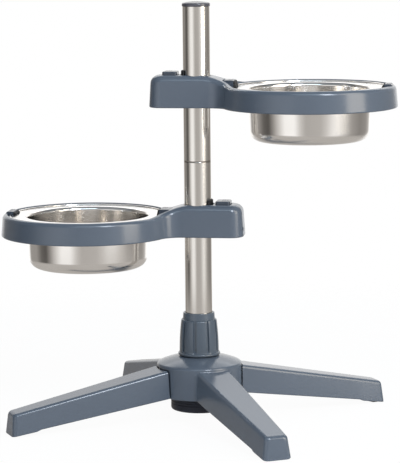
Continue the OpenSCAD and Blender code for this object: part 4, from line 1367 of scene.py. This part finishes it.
    def pocket_plan(self, inset: float, front: float) -> list[Point2]:
        """Plan of the pocket in the clamp block.

        Args:
            inset: How far it is drawn in.
            front: Where it ends towards the ring.

        Returns:
            The outline.
        """
        end, half = self.pocket_end - inset, self.pocket_half - inset
        radius = self.corner_r - self.draft - self.wall - inset
        corners = [(front, -half, 0), (front, half, 0), (-end, half, radius), (-end, -half, radius)]
        return rounded(corners, 12)

    def form(self) -> Skin:
        """The moulding's outside: drafted sides and a rounded top edge that follows the fall."""
        foot = self.plan(0)
        rings = []
        for i in range(4):
            a = math.radians(30 * i)
            inset = self.low_edge_r * (1 - math.sin(a))
            rings.append([(x, y, self.low_edge_r * (1 - math.cos(a))) for x, y in self.plan(inset)])
        inner = self.plan(1)
        for k in range(13):
            a = math.radians(7.5 * k)
            ring = []
            for (x, y), (to_x, to_y) in zip(foot, inner):
                radius = self.top_edge(x)
                inset = self.draft + radius * (1 - math.cos(a))
                z = self.top(x) - radius * (1 - math.sin(a))
                ring.append((x + (to_x - x) * inset, y + (to_y - y) * inset, z))
            rings.append(ring)
        n = len(foot)
        middle = (n - 1) // 2
        strips = [(i, i + 1, n - i - 1, n - i) for i in range(1, middle)]
        return Skin.loft(rings, [(0, 1, n - 1), *strips])

    def to_ring(self, way: int) -> Matrix:
        """From the ring's own axis, towards the far side for 1 and the pole for -1."""
        return moved(x=self.ring_off, turn=0 if way > 0 else 180)

    def slot_outline(self, wide: float) -> list[Point2]:
        """Plan of the brake shoe's slot, let out by a distance."""
        radius = self.shoe_out + self.play + wide
        half = self.shoe_half + self.slot_play + math.degrees(wide / radius)
        bend = arc((0, 0), radius, 180 - half, 180 + half, 24)
        return [(self.slot_front, 0), *[(x - self.shoe_travel, y) for x, y in bend]]

    def round_hole(self, x: float, radius: float) -> Callable[[float], list[Point2]]:
        """A round outline that can be let out."""
        return lambda wide: arc((x, 0), radius + wide, 0, 360, 160)[:-1]

    def moulding_cuts(self) -> list[Skin]:
        """Every plain cut in the moulding."""
        ring = moved(x=self.ring_off)
        channel_in, channel_out = self.opening_r + self.wall, self.ring_r - self.draft - self.wall
        channel = rounded([(channel_in, -OVER, 0), (channel_out, -OVER, 0), (channel_out, self.deck_z, 1),
                           (channel_in, self.deck_z, 1)], 3)
        neck_end = self.ring_off - (channel_in + channel_out) / 2
        cuts = [
            Skin.flared(self.round_hole(self.ring_off, self.recess_r), self.seat_z, self.lip, self.top),
            Skin.drum(self.opening_r, -OVER, self.block_h, 160).at(ring),
            Skin.spin(channel, 160).at(ring),
            Skin.box((self.boss_r + self.wall, -self.pocket_half, -OVER),
                     (neck_end, self.pocket_half, self.deck_z)),
            Skin.drum(self.bore_r, -OVER, self.shoulder_z, 96),
            Skin.flared(self.round_hole(0, self.mouth_r), 10, self.lip, self.top),
            Skin.flared(self.slot_outline, self.shoulder_z, self.lip, self.top),
            Skin.flared(self.button_hole, self.roof_z - OVER, self.lip, self.top),
            Skin.prism(self.pocket_plan(0, self.cover_front), -OVER, self.cover_t),
            Skin.box((-self.boss_r - self.shoe_travel - self.riser_t, -self.finger_off - self.play,
                      self.tail_z - self.play), (0, self.finger_off + self.play, self.roof_z)),
        ]
        for way, back in ((-1, self.near_back), (1, self.far_back)):
            cuts += [cut.at(self.to_ring(way)) for cut in self.latch_room(back)]
        head, shank = self.screw.head_r + self.play, self.screw.shank_r + self.play / 2
        seat, deep = self.screw_seat, self.screw_hole
        hole = rounded([(0, -OVER, 0), (head, -OVER, 0), (head, seat, 0.3), (shank, seat, 0),
                        (shank, deep, 0), (0, deep, 0)], 2)
        cuts += [Skin.spin(hole, 32).at(self.screw_place(way, -OVER)) for way in (-1, 1)]
        return cuts

    def button_hole(self, wide: float) -> list[Point2]:
        """Plan of the button's opening, let out by a distance."""
        room = 2 * (self.play + wide)
        outline = round_rect(self.button_l + room, self.button_w + room, self.button_r + self.play + wide)
        return [(x - self.button_off, y) for x, y in outline]

    def screw_place(self, way: int, inset: float) -> Matrix:
        """An end screw's place, with +Z into the block.

        Args:
            way: Which of the two screws, -1 or 1.
            inset: Depth of the seat in the block's end.

        Returns:
            The place.
        """
        seat = moved(x=inset - self.block_end, y=way * self.screw_pitch / 2, z=self.screw_z)
        return seat @ pointing("Y", 90)

    def latch_room(self, back: float) -> list[Skin]:
        """The room of a latch in the rim and its slot in the deck, along +X from the bowl's axis."""
        half, thin = self.latch_w / 2 + self.play, self.foot_half + self.play
        room = Skin.box((self.latch_tip, -half, self.seat_z), (back + self.play, half, self.cut_top))
        slot_out = back - self.tip_l
        slot_in = slot_out - self.foot_l - self.latch_travel - 2 * self.play
        slot = Skin.box((slot_in, -thin, self.deck_z - OVER), (slot_out, thin, self.seat_z + OVER))
        return [room, slot]

    def fingers(self, play: float, low: float, high: float) -> list[Skin]:
        """The two sloped cam fingers.

        Args:
            play: How far they are let out.
            low: Height of their lower ends.
            high: Height of their upper ends.

        Returns:
            The fingers, with the button up.
        """
        x, y = self.finger_l / 2 + play, self.finger_t / 2 + play
        slope = self.shoe_travel / self.button_travel
        ends = []
        for z in (low, high):
            shift = slope * (self.roof_z - z) - self.button_off
            ends.append([(shift - x, -y, z), (shift + x, -y, z), (shift + x, y, z), (shift - x, y, z)])
        return [Skin.loft(ends).at(moved(y=way * self.finger_off)) for way in (-1, 1)]

    def grip_line(self, radius: float, width: float, steps: int, place: Matrix) -> Skin:
        """The cut of one grip line along Y.

        Args:
            radius: Radius of the cut.
            width: Width of the piece that it crosses.
            steps: Number of sides of the cutter.
            place: Middle of the line.

        Returns:
            The cutter.
        """
        end = width / 2 - self.grip_end
        return Skin.rod(radius, -end, end, steps).at(place @ pointing("X", 90))

    def build_moulding(self) -> None:
        """Makes the arm's moulding."""
        arm = Piece(f"{self.name}_moulding", self.form())
        boss = Skin.drum(self.boss_r, -OVER, self.cut_top, 96)
        for inset, high in ((0, self.block_h - self.end_r), (self.end_r / 3, self.roof_z)):
            plan = self.pocket_plan(inset, -self.boss_r / 2)
            arm.cut(Piece("pocket", Skin.prism(plan, self.cover_t, high)).cut(boss))
        arm.cut(*self.moulding_cuts())
        arm.at(self.place).hand_over(SLATE, f"{self.name}_arm", f"{self.name}_arm")

    def build_button(self) -> None:
        """Makes the button with its stop flange, cam fingers and grip lines."""
        top = self.block_h + self.button_proud
        stop = self.roof_z - self.seat_gap
        at = moved(x=-self.button_off)
        low = round_rect(self.button_l, self.button_w, self.button_r)
        rings = [[(x, y, stop - self.bite) for x, y in low]]
        for k in range(7):
            a = math.radians(15 * k)
            inset = self.button_edge * (1 - math.cos(a))
            outline = round_rect(self.button_l - 2 * inset, self.button_w - 2 * inset, self.button_r - inset)
            rings.append([(x, y, top - self.button_edge * (1 - math.sin(a))) for x, y in outline])
        button = Piece(f"{self.name}_button_key", Skin.loft(rings).at(at))
        flange = round_rect(self.button_l, self.button_w + 4 * self.play, self.button_r)
        button.join(Skin.prism(flange, stop - self.flange_t, stop).at(at))
        button.join(*self.fingers(0, self.tail_z - 2 * OVER, stop - self.flange_t + self.bite))
        for x in self.grip_xs:
            line = at @ moved(x=x, z=top + self.grip_lift)
            button.cut(self.grip_line(self.grip_r, self.button_w, 16, line))
        # The button wears the much darker copy of the slate plastic, which is painted shade
        button.at(self.place).hand_over(DEEP_SLATE_PAINTED_SHADE, f"{self.name}_button", f"{self.name}_button")

    def build_spring(self) -> None:
        """Makes the button's return spring at its length with the button up; the real spring shortens as the
        button goes down.
        """
        wire = self.spring_wire / 2
        ring = arc((self.spring_r - wire, 0), wire, 360, 0, 8)[:-1]
        long = self.roof_z - 2 * self.seat_gap - self.flange_t - self.spring_z
        steps = 24 * self.spring_turns
        rings = []
        for k in range(steps + 1):
            z = self.spring_z + wire + (long - 2 * wire) * k / steps
            rings.append([tuple(pointing("Z", 15 * k) @ Vector((r, 0, z + up))) for r, up in ring])
        at = self.place @ moved(x=-self.button_off)
        spring = Piece(f"{self.name}_button_coil", Skin.loft(rings).at(at))
        made = spring.hand_over(ZINC, f"{self.name}_arm", f"{self.name}_button_spring")
        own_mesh(made)

    def build_shoe(self) -> None:
        """Makes the brake shoe with its pad, riser and tail plate."""
        bridge, roof = self.shoulder_z + self.play, self.roof_z - self.play
        low, high, side = self.tail_z, self.tail_z + self.tail_t, self.finger_off
        wide = side + self.finger_t / 2 + self.play + self.riser_t
        riser_in = -self.bore_r + self.riser_fit - self.play
        riser_out = riser_in - self.riser_t
        tail_in = -self.boss_r - self.play
        tail_out = -self.button_off - self.spring_r - self.shoe_travel - self.tail_end
        half = self.shoe_half
        plan = (arc((0, 0), self.shoe_out, 180 - half, 180 + half, 24)
                + arc((0, 0), self.shoe_in, 180 + half, 180 - half, 24))
        shoe = Piece(f"{self.name}_brake_shoe", Skin.prism(plan, bridge, self.block_h + self.shoe_proud))
        shoe.soften(0.9, 3, 50)
        tail = Piece("tail", Skin.box((tail_out, -wide, low), (tail_in, wide, high)))
        tail.join(Skin.box((tail_in - self.riser_t, -side, low), (riser_in, side, high)),
                  Skin.box((riser_out, -side, low), (riser_in, side, roof)),
                  Skin.box((riser_out, -side, bridge), (-self.shoe_in, side, roof)))
        tail.cut(Skin.drum((self.shoe_in + self.shoe_out) / 2, 0, self.cut_top, 96))
        room = self.spring_r + self.play
        tail.cut(Skin.box((-self.button_off - room, -room, 0),
                          (-self.button_off + room + self.shoe_travel, room, self.roof_z)))
        tail.cut(*self.fingers(self.play, low - OVER, high + OVER))
        shoe.join(tail)
        shoe.at(self.place).hand_over(BLACK_RUBBER, f"{self.name}_shoe", f"{self.name}_shoe")

    def build_latch(self, name: str, way: int, back: float, top: float) -> None:
        """Makes a latch and its soft tip.

        Args:
            name: Name of the latch in its nodes.
            way: 1 on the ring's far side, -1 next to the pole.
            back: Distance of its back from the bowl's axis.
            top: Height of its top.
        """
        place = self.place @ self.to_ring(way)
        upright = pointing("X", 90)
        body_x = self.latch_tip + self.tip_l
        step_x = self.latch_tip + self.latch_travel + self.play
        low_z = self.seat_z + self.seat_gap
        tip_z = low_z + self.bowl_t + self.play
        body = rounded([(body_x, tip_z, 0), (step_x, tip_z, 0), (step_x, low_z, 0), (back, low_z, 0.3),
                        (back, top, 2.4), (body_x, top, 1.2)], 5)
        latch = Piece(f"{self.name}_{name}_latch_slide",
                      Skin.prism(body, -self.latch_w / 2, self.latch_w / 2).at(place @ upright))
        latch.soften(0.7, 3, 50)
        foot_x, low = back - self.tip_l - self.foot_l, self.deck_z - self.play
        for half, high in ((self.foot_half, low_z + OVER), (self.toe_half, low)):
            foot = Skin.box((foot_x, -half, low - self.tip_l), (foot_x + self.foot_l, half, high))
            latch.join(foot.at(place))
        for i in range(3):
            line = place @ moved(x=body_x + self.line_start + self.line_pitch * i, z=top + self.grip_lift)
            latch.cut(self.grip_line(self.line_r, self.latch_w, 12, line))
        # The latch wears the much darker copy of the slate plastic, which is painted shade
        latch.hand_over(DEEP_SLATE_PAINTED_SHADE, f"{self.name}_{name}_latch", f"{self.name}_{name}_latch")
        nose_top, half = top - self.nose_step, self.latch_w / 2 - self.nose_step
        nose = rounded([(self.latch_tip, tip_z, 0.3), (body_x, tip_z, 0), (body_x, nose_top, 0.3),
                        (body_x - self.tip_l / 2, nose_top, 0.8),
                        (self.latch_tip, tip_z + self.nose_step, 0.5)], 4)
        tip = Piece(f"{self.name}_{name}_latch_nose", Skin.prism(nose, -half, half).at(place @ upright))
        tip.soften(0.4, 2, 50)
        tip.hand_over(BLACK_RUBBER, f"{self.name}_{name}_latch", f"{self.name}_{name}_tip")

    def bowl_profile(self) -> list[Point2]:
        """Outline of the bowl's sheet, as radius and height."""
        low = self.seat_z + self.seat_gap
        lean = math.degrees(math.atan(self.bowl_taper / self.bowl_depth))
        foot_z = low - self.bowl_depth
        foot = (self.bowl_r - self.bowl_taper * (self.bowl_depth - self.bowl_foot_r) / self.bowl_depth
                - self.bowl_foot_r / math.cos(math.radians(lean)), foot_z + self.bowl_foot_r)
        bend = (self.bowl_r + self.bend_r, low - self.bend_r)
        roll = (self.flange_r - self.roll_r, low + self.roll_r)
        inner_r = self.bowl_foot_r - self.bowl_t
        join = 180 + math.degrees(math.asin((self.roll_r - self.bowl_t) / self.roll_r))
        radii = [foot[0] * i / 8 for i in range(8)]
        outside = ([(r, foot_z) for r in radii] + arc(foot, self.bowl_foot_r, -90, -lean, 14)
                   + arc(bend, self.bend_r, 180, 90, 8) + arc(roll, self.roll_r, -90, join, 16))
        inside = (arc(bend, self.bend_r + self.bowl_t, 90, 180, 8) + arc(foot, inner_r, -lean, -90, 14)
                  + [(r, foot_z + self.bowl_t) for r in reversed(radii)])
        return outside + inside

    def build_bowl(self) -> None:
        """Makes the bowl with the two notches in its flange."""
        place = self.place @ moved(x=self.ring_off)
        bowl = Piece(f"{self.name}_steel_bowl", Skin.spin(self.bowl_profile(), 192).at(place))
        half = self.latch_w / 2 + 2 * self.play
        out, corner = self.notch_r + self.notch_out, self.notch_corner
        notch = rounded([(self.notch_r, -half, corner), (out, -half, 0), (out, half, 0),
                         (self.notch_r, half, corner)], 5)
        cutter = Skin.prism(notch, self.seat_z - self.notch_drop, self.seat_z + self.notch_lift)
        bowl.cut(*(cutter.at(place @ moved(turn=turn)) for turn in (0, 180)))
        finish = bowl_steel(place.translation.x)
        bowl.hand_over(finish, f"{self.name}_bowl", f"{self.name}_bowl", 40)

    def build_screws(self) -> None:
        """Makes the two screws in the block's end."""
        places = [self.place @ self.screw_place(way, self.draft + OVER) for way in (-1, 1)]
        screws = self.screw.build(f"{self.name}_end_pan_screws", places)
        screws.hand_over(BLACK_METAL, f"{self.name}_arm", f"{self.name}_end_screws")

    def build(self) -> None:
        """Makes every piece of the arm."""
        self.build_moulding()
        self.build_button()
        self.build_spring()
        self.build_shoe()
        self.build_latch("near", -1, self.near_back, self.near_top)
        self.build_latch("far", 1, self.far_back, self.far_top)
        self.build_bowl()
        self.build_screws()


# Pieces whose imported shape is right


@dataclass
class InnerPieces:
    """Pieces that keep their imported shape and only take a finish."""

    def finishes(self) -> dict[str, Finish]:
        """The finish of each kept node."""
        kept: dict[str, Finish] = {"pole_collet": CHARCOAL, "foot_plug": CHARCOAL, "knob_stud": ZINC,
                                   "knob_washer": ZINC, "plug_insert": BRASS, "tube_spigot": POLE_STEEL}
        for side in Side:
            kept[f"{side.value}_cover"] = SLATE
            kept[f"{side.value}_bush"] = CHARCOAL
        return kept

    def build(self) -> None:
        """Dresses the kept nodes."""
        for name, finish in self.finishes().items():
            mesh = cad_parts[name].data
            mesh.materials.clear()
            mesh.materials.append(finish.material())
            LOG.info("%s keeps its packed shape", name)


# Studio


@dataclass(frozen=True)
class SoftBox:
    """An area lamp that faces the stand, placed by its direction from the camera's side."""

    name: str
    azimuth: float
    height: float
    out: float
    wide: float
    tall: float
    power: float
    tint: Point3 = (1.0, 1.0, 1.0)


@dataclass
class Studio:
    """The floor, the soft light all round, the soft boxes and the camera."""

    distance: float = 3169.9
    height: float = 719.0
    azimuth: float = 8.37
    tilt: float = 8.07
    roll: float = -0.55
    pan: float = 0.05
    focal_px: float = 2253.7
    image_w: float = 400.0
    sensor: float = 36.0
    floor_r: float = 1300.0
    floor_t: float = 2.0
    floor_clear: float = 520.0
    floor_white: float = 0.96
    fill_front: Colour = (0.62, 0.60, 0.58, 1)
    fill_side: Colour = (0.25, 0.24, 0.23, 1)
    floor_mirror: Colour = (0.52, 0.49, 0.46, 1)
    fill_top: Colour = (0.22, 0.32, 0.42, 1)
    ceiling_front: Colour = (0.30, 0.32, 0.34, 1)
    ceiling_back: Colour = (0.10, 0.11, 0.12, 1)
    aim_z: float = 320.0
    room: tuple[Point2, ...] = (
        (-180, 1.2), (-154, 1.2), (-144, 0.36), (-116, 0.36), (-100, 0.15), (-86, 0.10), (-76, 0.32),
        (-64, 0.68), (-50, 1.12), (-32, 1.15), (-20, 0.70), (-10, 0.50), (18, 0.54), (30, 0.72), (42, 1.0),
        (54, 0.98), (66, 0.72), (84, 0.40), (108, 0.28), (130, 0.34), (144, 0.55), (152, 1.2), (180, 1.2))
    boxes: tuple[SoftBox, ...] = (
        SoftBox("soft_box_right", 60, 1230, 2300, 1150, 2200, 36, (1.0, 0.91, 0.78)),
        SoftBox("soft_box_edge", 27, 1850, 2100, 560, 1000, 32, (0.90, 0.97, 1.08)),
        SoftBox("soft_box_top", 0, 2100, 1900, 1600, 700, 9, (0.8, 1.0, 1.15)),
        SoftBox("soft_box_back", 180, 2400, 2300, 3600, 1500, 22))

    def build_camera(self) -> None:
        """Places the camera."""
        turn, pan, tilt, roll = (math.radians(a) for a in (self.azimuth, self.pan, self.tilt, self.roll))
        right = Vector((math.cos(turn), math.sin(turn), 0))
        ahead = Vector((-math.sin(turn), math.cos(turn), 0))
        up = Vector((0, 0, 1))
        place = -ahead * self.distance + up * self.height
        right, ahead = (right * math.cos(pan) - ahead * math.sin(pan),
                        right * math.sin(pan) + ahead * math.cos(pan))
        sight = ahead * math.cos(tilt) - up * math.sin(tilt)
        lift = ahead * math.sin(tilt) + up * math.cos(tilt)
        across = right * math.cos(roll) + lift * math.sin(roll)
        upright = lift * math.cos(roll) - right * math.sin(roll)
        lens = bpy.data.cameras.new("camera")
        lens.sensor_fit = "HORIZONTAL"
        lens.sensor_width = self.sensor
        lens.lens = self.focal_px * self.sensor / self.image_w
        lens.clip_end = 50
        camera = bpy.data.objects.new("camera", lens)
        axes = Matrix((across, upright, -sight)).transposed()
        camera.matrix_world = Matrix.Translation(place * MM) @ axes.to_4x4()
        bpy.context.scene.collection.objects.link(camera)
        bpy.context.scene.camera = camera

    @staticmethod
    def seen(graph: Graph) -> Wire:
        """1 for rays that look at the background: from the camera, a shiny surface or glass."""
        return graph.ray("Camera").larger(graph.ray("Glossy")).larger(graph.ray("Transmission"))

    def build_floor(self) -> None:
        """Makes the pale floor, which fades into the white around it and is clear from below."""
        floor = Piece("floor", Skin.rod(self.floor_r, -self.floor_t, 0, 96)).object
        made = bpy.data.materials.new("floor_paper")
        made.use_nodes = True
        graph = Graph(made.node_tree)
        place = graph.place()
        fleck = graph.noise(place, 30, 3)
        paper = graph.node("ShaderNodeBsdfDiffuse", None, {
            "Color": graph.mix(fleck, (0.93, 0.93, 0.93, 1), (0.96, 0.96, 0.96, 1))})
        glow = graph.mix(graph.ray("Camera"), self.floor_mirror, WHITE)
        white = graph.node("ShaderNodeEmission", None, {"Color": glow, "Strength": 1.0})
        shown = graph.blend(self.seen(graph) * self.floor_white, paper, white)
        far = graph.length(place).step(self.floor_clear * MM, self.floor_r * MM)
        clear = graph.node("ShaderNodeBsdfTransparent")
        graph.node_end(graph.blend(far.larger(graph.facing_down()), shown, clear))
        floor.data.materials.append(made)

    @staticmethod
    def warm(level: float) -> Colour:
        """The room's colour at a level, warmer where it is darker."""
        return (level, level * (0.93 + 0.05 * level), level * (0.86 + 0.1 * level), 1)

    def build_world(self) -> None:
        """Lights the stand from all round, with a white background and a dimmer room at its sides."""
        world = bpy.data.worlds.new("studio")
        world.use_nodes = True
        bpy.context.scene.world = world
        graph = Graph(world.node_tree)
        turned = graph.node("ShaderNodeVectorRotate", {"rotation_type": "Z_AXIS"},
                            {"Vector": graph.node("ShaderNodeTexCoord", output="Generated"),
                             "Angle": -math.radians(self.azimuth)})
        across, ahead, height = (graph.part(turned, axis) for axis in "XYZ")
        angle = across.bearing(0 - ahead)
        stops = [(0.5 + degrees / 360, self.warm(level)) for degrees, level in self.room]
        wall = graph.node("ShaderNodeValToRGB", {"stops": stops}, {0: angle / (2 * math.pi) + 0.5})
        back = ahead.step(-0.1, 0.4)
        ceiling = graph.mix(back, self.ceiling_front, self.ceiling_back)
        shiny = graph.mix((height - 0.2 - 0.28 * back).step(0, 0.2), wall, ceiling)
        fill = graph.mix((0 - ahead).step(-0.3, 0.9), self.fill_side, self.fill_front)
        fill = graph.mix(height.step(0.3, 0.9), fill, self.fill_top)
        light = graph.mix(graph.ray("Camera"), graph.mix(self.seen(graph), fill, shiny), WHITE)
        shown = graph.node("ShaderNodeBackground", None, {"Color": light, "Strength": 1.0})
        end = graph.tree.nodes.new("ShaderNodeOutputWorld")
        graph.tree.links.new(shown.socket, end.inputs["Surface"])

    def build_lamps(self) -> None:
        """Hangs the soft boxes."""
        for box in self.boxes:
            lamp = bpy.data.lights.new(box.name, "AREA")
            lamp.shape = "RECTANGLE"
            lamp.size = box.wide * MM
            lamp.size_y = box.tall * MM
            lamp.energy = box.power
            lamp.color = box.tint
            a = math.radians(self.azimuth + box.azimuth)
            place = Vector((math.sin(a) * box.out, -math.cos(a) * box.out, box.height)) * MM
            holder = bpy.data.objects.new(box.name, lamp)
            holder.location = place
            sight = Vector((0, 0, self.aim_z * MM)) - place
            holder.rotation_euler = sight.to_track_quat("-Z", "Y").to_euler()
            holder.visible_camera = False
            bpy.context.scene.collection.objects.link(holder)

    def build(self) -> None:
        """Sets up the studio."""
        bpy.context.scene.view_settings.view_transform = "Standard"
        self.build_camera()
        self.build_floor()
        self.build_world()
        self.build_lamps()


def main() -> None:
    """Builds the stand and its studio."""
    logging.basicConfig(level=logging.INFO, format="%(name)s: %(message)s")
    arms = [Arm(side) for side in Side]
    for assembly in (Studio(), Base(), Pole(), Collar(), Knob(), *arms, InnerPieces()):
        assembly.build()
        LOG.info("%s built", type(assembly).__name__)


if __name__ == "__main__":
    main()
